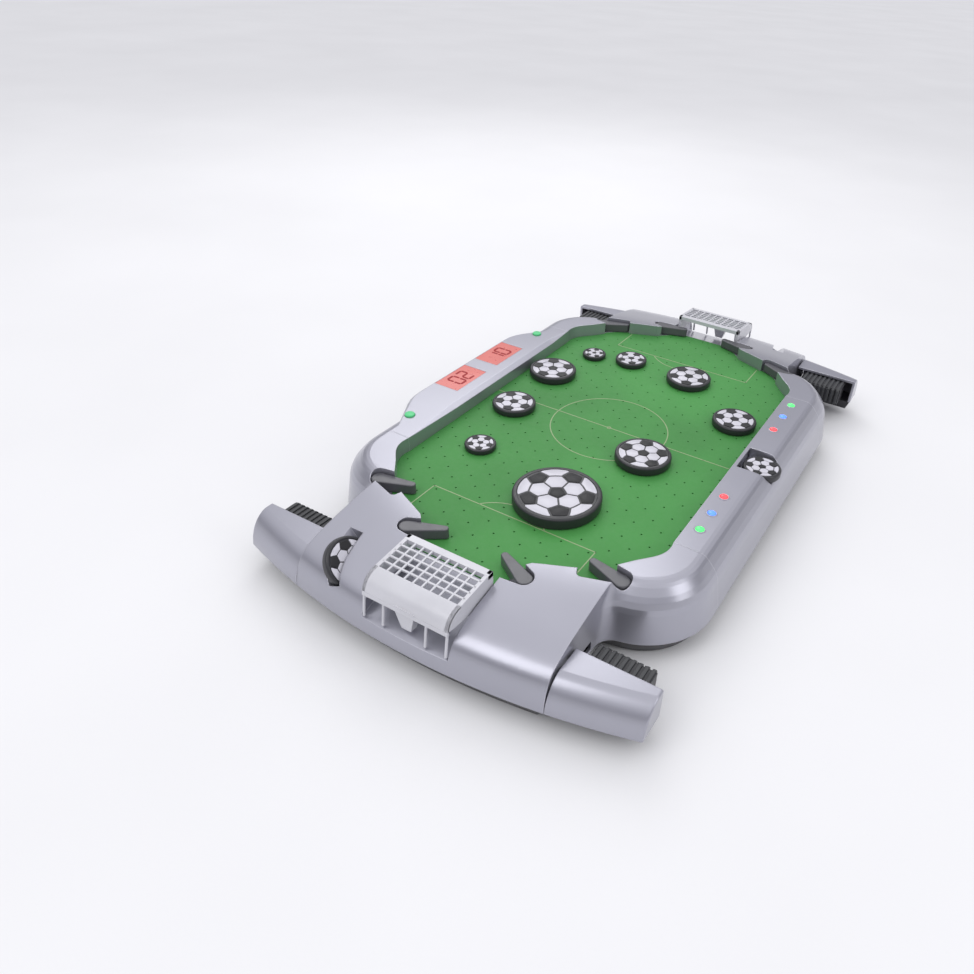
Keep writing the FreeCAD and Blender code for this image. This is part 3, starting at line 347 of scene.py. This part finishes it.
def ball_panels():
    """Panels of a football seen from above, as (dark, centre, corner points) on a unit sphere."""
    ring, level = 2 / math.sqrt(5), 1 / math.sqrt(5)
    points = [Vector((0, 0, 1)), Vector((0, 0, -1))]
    for i in range(5):
        for height, offset in ((level, 0), (-level, 36)):
            turn = math.radians(72 * i + offset)
            points.append(Vector((ring * math.cos(turn), ring * math.sin(turn), height)))
    count = len(points)
    links = {}
    for i in range(count):
        links[i] = [j for j in range(count) if j != i and (points[i] - points[j]).length < NEIGHBOUR]
    panels = []
    for i in range(count):
        corners = [points[i].lerp(points[j], 1 / 3) for j in links[i]]
        panels.append((True, points[i], corners))
        for j in links[i]:
            for k in links[i]:
                if i < j < k and k in links[j]:
                    corners = []
                    for a, b in ((i, j), (j, i), (j, k), (k, j), (k, i), (i, k)):
                        corners.append(points[a].lerp(points[b], 1 / 3))
                    panels.append((False, sum(corners, Vector()) / 6, corners))
    return [(dark, centre, around(centre, corners)) for dark, centre, corners in panels]


def around(centre, corners):
    """Corners in order round a centre."""
    axis = centre.normalized()
    side = (corners[0] - centre).normalized()
    other = axis.cross(side)
    return sorted(corners, key=lambda p: math.atan2((p - centre).dot(other), (p - centre).dot(side)))


def flat_panel(centre, corners, radius):
    """A panel's outline laid flat on a disc."""
    pulled = [centre + (p - centre) * PANEL_SHRINK for p in corners]
    outline = []
    for a, b in zip(pulled, pulled[1:] + pulled[:1]):
        for share in (0.0, 0.25, 0.5, 0.75):
            p = a.lerp(b, share).normalized()
            tilt = math.acos(max(-1.0, min(1.0, p.z)))
            if tilt > BALL_BACK:
                return []
            reach = radius * min(1.0, tilt / BALL_EDGE)
            turn = math.atan2(p.y, p.x)
            outline.append(Vector((reach * math.cos(turn), reach * math.sin(turn), 0)))
    if min(p.length for p in outline) > radius * 0.985:
        return []
    kept = []
    for p in outline:
        if not kept or (p - kept[-1]).length > radius * 0.004:
            kept.append(p)
    if (kept[0] - kept[-1]).length < radius * 0.004:
        kept.pop()
    return kept if len(kept) > 3 else []


PANELS = ball_panels()


def puck(node, materials, radius, thick, matrix, spin):
    """Puck with a rounded rim and a dished face that carries raised football panels."""
    bm = bmesh.new()
    soft = min(thick * 0.28, 1.9 * MM)
    rim = max(1.7 * MM, radius * 0.10)
    dish = 0.55 * MM
    profile = [(0.0, 0.0)] + rounded(((radius - soft, soft), soft), -90, 0) \
        + rounded(((radius - soft, thick - soft), soft), 0, 80, 5) \
        + [(radius - rim, thick - 0.05 * MM), (radius - rim - 0.5 * MM, thick - dish), (0.0, thick - dish)]
    lathe(bm, profile, PUCK_STEPS, matrix)
    face_radius = radius - rim - 0.9 * MM
    base = thick - dish
    turn = Matrix.Rotation(spin, 4, "Z")
    for dark, centre, corners in PANELS:
        outline = flat_panel(centre, corners, face_radius)
        if not outline:
            continue
        middle = sum(outline, Vector()) / len(outline)
        levels = []
        steps = ((1.0, base - 0.1 * MM), (1.0, base + PANEL_PROUD * 0.6), (0.95, base + PANEL_PROUD))
        for pull, height in steps:
            lift = Vector((0, 0, height))
            level = [matrix @ turn @ (middle + (p - middle) * pull + lift) for p in outline]
            levels.append([bm.verts.new(p) for p in level])
        count = len(outline)
        faces = [bm.faces.new(levels[0][::-1]), bm.faces.new(levels[-1])]
        for low, high in zip(levels, levels[1:]):
            for i in range(count):
                j = (i + 1) % count
                faces.append(bm.faces.new([low[i], low[j], high[j], high[i]]))
        for face in faces:
            face.material_index = 2 if dark else 1
    paints = [materials["puck_black"], materials["panel_light"], materials["panel_dark"]]
    piece(node + "_look", bm, node, paints, [node])


def make_pucks(materials):
    """All loose pucks lie flat; the one in the slot leans."""
    for i in range(1, 10):
        node = f"puck_{i}"
        low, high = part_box(node)
        middle = (low + high) / 2
        matrix = Matrix.Translation((middle.x, middle.y, low.z))
        puck(node, materials, (high.x - low.x) / 2, high.z - low.z, matrix, math.radians(17 * i))
    low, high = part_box("pocket_puck")
    thick = high.z - low.z
    matrix = Matrix.Translation(((low.x + high.x) / 2, (low.y + high.y) / 2, low.z))
    puck("pocket_puck", materials, (high.x - low.x) / 2, thick, matrix, math.radians(50))
    low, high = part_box("slot_puck")
    middle = (low + high) / 2
    radius = (high.y - low.y) / 2
    lean = slot_lean(high.x - low.x, 2 * radius, thick)
    matrix = Matrix.Translation(middle) @ Matrix.Rotation(lean, 4, "Y")
    matrix = matrix @ Matrix.Translation((0, 0, -thick / 2))
    puck("slot_puck", materials, radius, thick, matrix, math.radians(20))


def slot_lean(width, across, thick):
    """Lean of a disc whose box is this wide, found by halving; its rim's rounding is small."""
    low, high = math.radians(30), math.radians(80)
    for _ in range(30):
        middle = (low + high) / 2
        if across * math.cos(middle) + thick * math.sin(middle) > width:
            low = middle
        else:
            high = middle
    return low


# ---- goals ---------------------------------------------------------------------------------
NET_COLUMNS, NET_ROWS = 9, 5
NET_BAR = 0.75 * MM               # half the width of a net bar
GOAL_SKIN = 1.5 * MM
GOAL_BEND = 14.0 * MM             # radius of the rolled back
GOAL_CHEEK = 3.0 * MM
GOAL_CROSSBAR = (6.0 * MM, 4.0 * MM)
STRUT_R = 1.0 * MM
BAY_SLOPE = 0.325                 # the tray under the goal rises this much towards the field


def make_goal(node, turned, materials):
    """Goal moulding: cheeks, crossbar, net of bars, rolled back with its band, struts and post."""
    low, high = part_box("near_goal")
    half, front, top = high.x, high.y, high.z
    back = low.y + 2.6 * MM

    def line(drop):
        """Side view of the net from the crossbar to the back, drawn in by drop."""
        points = [(front, top - drop), (front - 4 * MM, top - drop)]
        radius = GOAL_BEND - drop
        centre = (back + GOAL_BEND, top - 3 * MM - GOAL_BEND)
        for i in range(9):
            turn = math.radians(80.0 * i / 8)
            points.append((centre[0] - radius * math.sin(turn), centre[1] + radius * math.cos(turn)))
        return points

    outer, inner = line(0.0), line(GOAL_SKIN)

    def net_z(y, drop):
        """Height of the net's flat run at a place along it."""
        a, b = line(drop)[1], line(drop)[2]
        share = (y - a[0]) / (b[0] - a[0])
        return a[1] + (b[1] - a[1]) * share

    bm = bmesh.new()
    deep, tall = GOAL_CROSSBAR
    first, last = front - deep, back + GOAL_BEND + 1.0 * MM
    for i in range(1, NET_COLUMNS):
        x = -half + GOAL_CHEEK + 2 * (half - GOAL_CHEEK) * i / NET_COLUMNS
        outline = [(first + 1 * MM, net_z(first, 0.0)), (last - 1 * MM, net_z(last, 0.0)),
                   (last - 1 * MM, net_z(last, GOAL_SKIN)), (first + 1 * MM, net_z(first, GOAL_SKIN))]
        along_x(bm, outline, x - NET_BAR, x + NET_BAR)
    for j in range(1, NET_ROWS):
        y = first + (last - first) * j / NET_ROWS
        ahead, behind = y + NET_BAR, y - NET_BAR
        outline = [(ahead, net_z(ahead, 0.0)), (behind, net_z(behind, 0.0)),
                   (behind, net_z(behind, GOAL_SKIN)), (ahead, net_z(ahead, GOAL_SKIN))]
        along_x(bm, outline, -half + 1 * MM, half - 1 * MM)
    lip = [(last, net_z(last, 0.0))] + outer[2:]
    lip += inner[2:][::-1] + [(last, net_z(last, GOAL_SKIN))]
    along_x(bm, lip, -half, half)
    along_x(bm, [(front, top), (first, top), (first, top - tall), (front, top - tall)], -half, half)
    end_out, end_in = outer[-1], inner[-1]
    foot = BOARD_TOP - 1.8 * MM
    side = outer + [(end_in[0] + 4 * MM, end_in[1] - 1 * MM), (first, foot), (front, foot)]
    along_x(bm, side, -half, -half + GOAL_CHEEK)
    along_x(bm, side, half - GOAL_CHEEK, half)
    band_low = end_in[1] - 3 * MM
    band = [end_out, end_in, (end_in[0] + 0.6 * MM, band_low), (end_out[0] - 0.6 * MM, band_low)]
    along_x(bm, band, -half, half)
    for x in (-half + 1 * MM, -half / 2, half / 2, half - 1 * MM):
        head = Vector((x, end_in[0] - 0.4 * MM, end_in[1] - 1.5 * MM))
        toe = Vector((x, low.y + 0.9 * MM, low.z + 0.4 * MM))
        aim = (toe - head).to_track_quat("Z", "Y").to_matrix().to_4x4()
        length = (toe - head).length
        profile = [(0, 0), (STRUT_R, 0), (STRUT_R, length), (0, length)]
        lathe(bm, profile, 14, Matrix.Translation(head) @ aim)
    post_y = end_in[0] + 2.2 * MM
    wedge = []
    for half_x, half_y, z in ((4.0, 3.0, foot_height(post_y, low)), (9.0, 4.0, end_in[1] + 1.6 * MM)):
        wedge.append([Vector((sx * half_x * MM, post_y + sy * half_y * MM, z))
                      for sx, sy in ((-1, -1), (1, -1), (1, 1), (-1, 1))])
    rings = [[bm.verts.new(p) for p in ring] for ring in wedge]
    bm.faces.new(rings[0][::-1])
    bm.faces.new(rings[1])
    for i in range(4):
        j = (i + 1) % 4
        bm.faces.new([rings[0][i], rings[0][j], rings[1][j], rings[1][i]])
    if turned:
        bmesh.ops.rotate(bm, verts=bm.verts, cent=(0, 0, 0), matrix=Matrix.Rotation(math.pi, 3, "Z"))
    piece(node + "_look", bm, "housing", [materials["goal_grey"]], [node], bevel=0.3 * MM)


def foot_height(y, low):
    """Bottom of the centre post, a little over the sloping tray floor."""
    return low.z + 1.4 * MM + (y - low.y) * BAY_SLOPE


# ---- small pieces --------------------------------------------------------------------------
LAMP_COLOURS = ("green", "blue", "red", "red", "blue", "green")
LAMP_R = 3.3 * MM
LAMP_DEPTH = 4.2 * MM
LAMP_DOME = 1.6 * MM
# section of a lamp's collar: out from the lamp, up from the rail
COLLAR = ((0.1, -1.0), (0.1, 0.35), (0.5, 0.55), (1.1, 0.35), (1.3, -0.1), (1.3, -1.0), (0.1, -1.0))
BUTTON_R = 4.5 * MM


def make_lamps(materials):
    """Domed lamps in the right rail, in the places of the CAD lenses, each in a silver collar."""
    node = NODES["lamp_lenses"]
    low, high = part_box("lamp_lenses")
    x = (low.x + high.x) / 2
    rows = sorted({round(v.co.y, 4) for v in node.data.vertices if v.co.z > high.z - 0.1 * MM}, reverse=True)
    places, group = [], [rows[0]]
    for y in rows[1:]:
        if group[-1] - y > 4 * MM:
            places.append((group[0] + group[-1]) / 2)
            group = []
        group.append(y)
    places.append((group[0] + group[-1]) / 2)
    for i, (y, colour) in enumerate(zip(places, LAMP_COLOURS)):
        bm = bmesh.new()
        dome = [(0.0, -LAMP_DEPTH), (LAMP_R, -LAMP_DEPTH), (LAMP_R, 0.0)]
        for step in range(1, 7):
            turn = math.radians(15 * step)
            dome.append((LAMP_R * math.cos(turn) if step < 6 else 0.0, LAMP_DOME * math.sin(turn)))
        lathe(bm, dome, 36, Matrix.Translation((x, y, high.z - 0.2 * MM)))
        lamp = piece(f"lamp_{i}", bm, "housing", [materials["lamp_" + colour]])
        if i == 0:
            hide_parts("lamp_lenses")
        bm = bmesh.new()
        collar = [(LAMP_R + out * MM, rise * MM) for out, rise in COLLAR]
        lathe(bm, collar, 36, Matrix.Translation((x, y, RAIL_TOP)))
        bmesh.ops.remove_doubles(bm, verts=bm.verts, dist=1e-6)
        piece(f"lamp_collar_{i}", bm, "housing", [materials["silver_shell"]])


def make_button(name, materials):
    """Domed start button with a rolled edge."""
    low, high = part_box(f"{name}_start_button")
    middle = (low + high) / 2
    radius = BUTTON_R
    top = high.z
    bm = bmesh.new()
    profile = [(0.0, low.z), ((high.x - low.x) / 2, low.z), ((high.x - low.x) / 2, low.z + 1.4 * MM),
               (radius, low.z + 1.4 * MM), (radius, top - 1.3 * MM)]
    profile += rounded(((radius - 1.1 * MM, top - 1.3 * MM), 1.1 * MM), 10, 75)
    profile += [(radius - 2.2 * MM, top - 0.06 * MM), (0.0, top)]
    lathe(bm, profile, 48, Matrix.Translation((middle.x, middle.y, 0)))
    piece(f"{name}_button_look", bm, f"{name}_button", [materials["green_button"]],
          [f"{name}_start_button"])


RIB_COUNT = 9
RIB_HIGH = 1.0 * MM
RIB_SHARE = 0.27                  # half the width of a rib, as a share of the pitch
RIB_PROUD = 2.4 * MM              # ribs stand this far out of the finger side
RIB_DROP = 15.5 * MM


def make_ribs(name, end, materials):
    """Rounded ribs over the top and round the finger side of a trigger block."""
    node = NODES[f"{name}_trigger"]
    low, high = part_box(f"{name}_trigger")
    tall = [v.co for v in node.data.vertices if v.co.z > high.z - 0.2 * MM]
    x0, x1 = min(p.x for p in tall), max(p.x for p in tall)
    back, front = sorted((min(p.y for p in tall), max(p.y for p in tall)), key=lambda y: -abs(y))
    pitch = (x1 - x0) / RIB_COUNT
    towards = -end
    bm = bmesh.new()
    for i in range(RIB_COUNT):
        x = x0 + pitch * (i + 0.5)
        half = pitch * RIB_SHARE
        face = front + towards * RIB_PROUD
        outline = [(back, high.z - 0.5 * MM), (back, high.z + RIB_HIGH), (front, high.z + RIB_HIGH),
                   (face, high.z - 0.8 * MM), (face, high.z - RIB_DROP), (front, high.z - RIB_DROP),
                   (front, high.z - 0.5 * MM)]
        along_x(bm, outline, x - half, x + half)
    piece(f"{name}_trigger_ribs", bm, f"{name}_trigger", [materials["trigger_rib"]],
          bevel=0.45 * MM)


SPRING_TURNS = 7
SPRING_WIRE = 0.55 * MM
TURN_STEPS = 20
WIRE_STEPS = 8


def make_spring(name, end, materials):
    """Return spring between its stop in the grip and the trigger."""
    node = f"{name}_trigger_spring"
    low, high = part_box(node)
    middle = (low + high) / 2
    radius = (high.z - low.z) / 2 - SPRING_WIRE
    seat, push = (low.y, high.y) if end < 0 else (high.y, low.y)
    run = (push - seat) / abs(push - seat)
    first, last = seat + run * SPRING_WIRE, push - run * SPRING_WIRE
    steps = SPRING_TURNS * TURN_STEPS
    bm = bmesh.new()
    rings = []
    for i in range(steps + 1):
        turn = 2 * math.pi * i / TURN_STEPS
        ray = Vector((math.cos(turn), 0, math.sin(turn)))
        centre = Vector((middle.x, first + (last - first) * i / steps, middle.z)) + ray * radius
        ring = []
        for k in range(WIRE_STEPS):
            lean = 2 * math.pi * k / WIRE_STEPS
            side = ray * math.cos(lean) + Vector((0, math.sin(lean), 0))
            ring.append(bm.verts.new(centre + side * SPRING_WIRE))
        rings.append(ring)
    for a, b in zip(rings, rings[1:]):
        for k in range(WIRE_STEPS):
            j = (k + 1) % WIRE_STEPS
            bm.faces.new([a[k], a[j], b[j], b[k]])
    bm.faces.new(rings[0][::-1])
    bm.faces.new(rings[-1])
    obj = piece(node + "_look", bm, None, [materials["spring_steel"]], [node])
    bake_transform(obj)


SEGMENTS = {"0": "abcdef", "1": "bc", "2": "abged"}
SEGMENT_ENDS = {"a": ((-1, 1), (1, 1)), "b": ((1, 1), (1, 0)), "c": ((1, 0), (1, -1)),
                "d": ((-1, -1), (1, -1)), "e": ((-1, 0), (-1, -1)), "f": ((-1, 1), (-1, 0)),
                "g": ((-1, 0), (1, 0))}
DIGIT_SIZE = (8.8 * MM, 15.6 * MM)
DIGIT_PITCH = 12.5 * MM
SEGMENT_WIDE = 2.1 * MM
SEGMENT_GAP = 0.2 * MM
SEGMENT_HIGH = 0.16 * MM
PANE_LONG = 45.6 * MM


def digit(bm, shape, middle, top):
    """Seven-segment digit that reads along +Y with its top towards -X."""
    wide, tall = DIGIT_SIZE
    for name in SEGMENTS[shape]:
        (u0, v0), (u1, v1) = [(u * wide / 2, v * tall / 2) for u, v in SEGMENT_ENDS[name]]
        a, b = Vector((u0, v0)), Vector((u1, v1))
        run = (b - a).normalized()
        side = Vector((-run.y, run.x)) * SEGMENT_WIDE / 2
        a, b = a + run * SEGMENT_GAP, b - run * SEGMENT_GAP
        shoulder = run * SEGMENT_WIDE / 2
        loop = [a, a + shoulder + side, b - shoulder + side, b, b - shoulder - side, a + shoulder - side]
        outline = [Vector((middle.x - p.y, middle.y + p.x, top)) for p in loop]
        prism(bm, outline, Vector((0, 0, SEGMENT_HIGH)))


def make_digits(materials):
    """The two scores."""
    low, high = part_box("score_windows")
    x = (low.x + high.x) / 2
    for name, text, y in (("near", "02", low.y + PANE_LONG / 2), ("far", "10", high.y - PANE_LONG / 2)):
        bm = bmesh.new()
        for i, shape in enumerate(text):
            digit(bm, shape, Vector((x, y + (i - 0.5) * DIGIT_PITCH)), high.z - 0.02 * MM)
        piece(f"{name}_score_digits", bm, "housing", [materials["digit"]], smooth=False)


LINE_WIDE = 0.9 * MM
LINE_THICK = 0.12 * MM
LINE_SINK = 0.02 * MM
HALFWAY = 119.5 * MM              # half the length of the halfway line
CIRCLE_R = 52.8 * MM
SPOT_R = 1.6 * MM
BOX_HALF, BOX_FRONT, BOX_BACK = 72.5 * MM, 157.0 * MM, 190.0 * MM
ARC_R = 38.0 * MM
ARC_CENTRE = 181.0 * MM           # the penalty arc is cut off by the box's front line


def arc_line(bm, centre, radius, start, end, steps):
    """Printed arc on the board."""
    z = BOARD_TOP - LINE_SINK
    closed = abs(end - start) > 359.9
    corners = []
    for i in range(steps if closed else steps + 1):
        turn = math.radians(start + (end - start) * i / steps)
        ray = Vector((math.cos(turn), math.sin(turn), 0))
        ring = []
        for reach, height in ((-1, 0), (1, 0), (1, 1), (-1, 1)):
            lift = Vector((0, 0, z + height * LINE_THICK))
            ring.append(bm.verts.new(centre + ray * (radius + reach * LINE_WIDE / 2) + lift))
        corners.append(ring)
    count = len(corners)
    for i in range(count if closed else count - 1):
        a, b = corners[i], corners[(i + 1) % count]
        for k in range(4):
            bm.faces.new([a[k], a[(k + 1) % 4], b[(k + 1) % 4], b[k]])
    if not closed:
        bm.faces.new(corners[0])
        bm.faces.new(corners[-1][::-1])


def straight_line(bm, x0, y0, x1, y1):
    """Printed straight line on the board."""
    z = BOARD_TOP - LINE_SINK
    a, b = Vector((x0, y0, z)), Vector((x1, y1, z))
    run = (b - a).normalized() * LINE_WIDE / 2
    side = Vector((-run.y, run.x, 0))
    outline = [a - run + side, a - run - side, b + run - side, b + run + side]
    prism(bm, outline, Vector((0, 0, LINE_THICK)))


def make_pitch(materials):
    """Centre circle and spot, halfway line, and both penalty areas with their arcs."""
    bm = bmesh.new()
    arc_line(bm, Vector(), CIRCLE_R, 0, 360, 96)
    arc_line(bm, Vector(), SPOT_R, 0, 360, 24)
    straight_line(bm, -HALFWAY, 0, HALFWAY, 0)
    for end in (-1, 1):
        straight_line(bm, -BOX_HALF, end * BOX_FRONT, BOX_HALF, end * BOX_FRONT)
        for s in (-1, 1):
            straight_line(bm, s * BOX_HALF, end * BOX_FRONT, s * BOX_HALF, end * BOX_BACK)
        centre = Vector((0, end * ARC_CENTRE, 0))
        open_half = math.degrees(math.acos((ARC_CENTRE - BOX_FRONT) / ARC_R))
        middle = -90 if end > 0 else 90
        arc_line(bm, centre, ARC_R, middle - open_half, middle + open_half, 32)
    piece("pitch_lines", bm, "housing", [materials["pitch_line"]], smooth=False)


# ---- stage ---------------------------------------------------------------------------------
# light: name, place, width, power
LIGHTS = (("key", (-0.7, 0.9, 1.1), 0.9, 4.5), ("front", (-0.3, -1.1, 1.2), 0.8, 4.0),
          ("side", (1.3, -0.1, 0.7), 0.6, 2.5))
FLOOR_HALF = 40.0
FLOOR_DROP = 0.2 * MM
# sky: sine of the height over the horizon, colour; the dark band gives the shell its shading
SKY = ((0.0, (0.66, 0.66, 0.68, 1)), (0.75, (0.95, 0.95, 0.98, 1)), (0.13, (0.66, 0.66, 0.68, 1)),
       (0.27, (0.17, 0.17, 0.19, 1)), (0.46, (0.5, 0.5, 0.54, 1)))
SKY_STRENGTH = 1.15


def make_stage():
    """Pale floor, soft lights and the camera."""
    bm = bmesh.new()
    bmesh.ops.create_grid(bm, x_segments=1, y_segments=1, size=FLOOR_HALF)
    mesh = bpy.data.meshes.new("floor")
    bm.to_mesh(mesh)
    bm.free()
    floor = bpy.data.objects.new("floor", mesh)
    floor.location.z = -FLOOR_DROP
    bpy.context.scene.collection.objects.link(floor)
    paint = Paint("floor_paint", (0.82, 0.82, 0.83), 0.9)
    paint.set("Specular IOR Level", 0.0)
    paint.mottle(3.0, 0.02).relief(300.0, 0.0001)
    mesh.materials.append(paint.material)

    world = bpy.data.worlds.new("studio")
    bpy.context.scene.world = world
    world.use_nodes = True
    tree = world.node_tree
    sky = tree.nodes["Background"]
    place = tree.nodes.new("ShaderNodeTexCoord")
    split = tree.nodes.new("ShaderNodeSeparateXYZ")
    tree.links.new(place.outputs["Generated"], split.inputs[0])
    shade = tree.nodes.new("ShaderNodeValToRGB")
    stops = shade.color_ramp.elements
    for stop, (height, colour) in zip(stops[:2], SKY[:2]):
        stop.position = height
        stop.color = colour
    for height, colour in SKY[2:]:
        stops.new(height).color = colour
    tree.links.new(split.outputs["Z"], shade.inputs[0])
    tree.links.new(shade.outputs[0], sky.inputs[0])
    sky.inputs[1].default_value = SKY_STRENGTH

    for name, place, size, power in LIGHTS:
        data = bpy.data.lights.new(name, "AREA")
        data.shape = "SQUARE"
        data.size = size
        data.energy = power
        light = bpy.data.objects.new(name, data)
        light.location = place
        light.rotation_euler = Vector(place).to_track_quat("Z", "Y").to_euler()
        bpy.context.scene.collection.objects.link(light)

    camera_data = bpy.data.cameras.new("camera")
    camera_data.sensor_width = 36.0
    camera_data.lens = CAMERA_LENS
    camera_data.shift_x, camera_data.shift_y = CAMERA_SHIFT
    camera_data.clip_start = 0.01
    camera = bpy.data.objects.new("camera", camera_data)
    bpy.context.scene.collection.objects.link(camera)
    level = math.cos(CAMERA_TILT)
    ahead = Vector((-math.sin(CAMERA_TURN) * level, math.cos(CAMERA_TURN) * level, -math.sin(CAMERA_TILT)))
    right = Vector((math.cos(CAMERA_TURN), math.sin(CAMERA_TURN), 0))
    up = right.cross(ahead)
    across = right * math.cos(CAMERA_ROLL) + up * math.sin(CAMERA_ROLL)
    upright = up * math.cos(CAMERA_ROLL) - right * math.sin(CAMERA_ROLL)
    facing = Matrix((across, upright, -ahead)).transposed().to_4x4()
    camera.matrix_world = Matrix.Translation(CAMERA_PLACE) @ facing
    bpy.context.scene.camera = camera
    bpy.context.scene.view_settings.view_transform = "Standard"


# ---- build ---------------------------------------------------------------------------------
MATERIALS = make_materials()
paint_cad(MATERIALS)
make_pucks(MATERIALS)
make_goal("near_goal", False, MATERIALS)
make_goal("far_goal", True, MATERIALS)
make_lamps(MATERIALS)
make_button("near", MATERIALS)
make_button("far", MATERIALS)
for end_name, end in (("near", -1), ("far", 1)):
    for side_name in ("left", "right"):
        make_ribs(f"{end_name}_{side_name}", end, MATERIALS)
        make_spring(f"{end_name}_{side_name}", end, MATERIALS)
make_digits(MATERIALS)
make_pitch(MATERIALS)
make_stage()
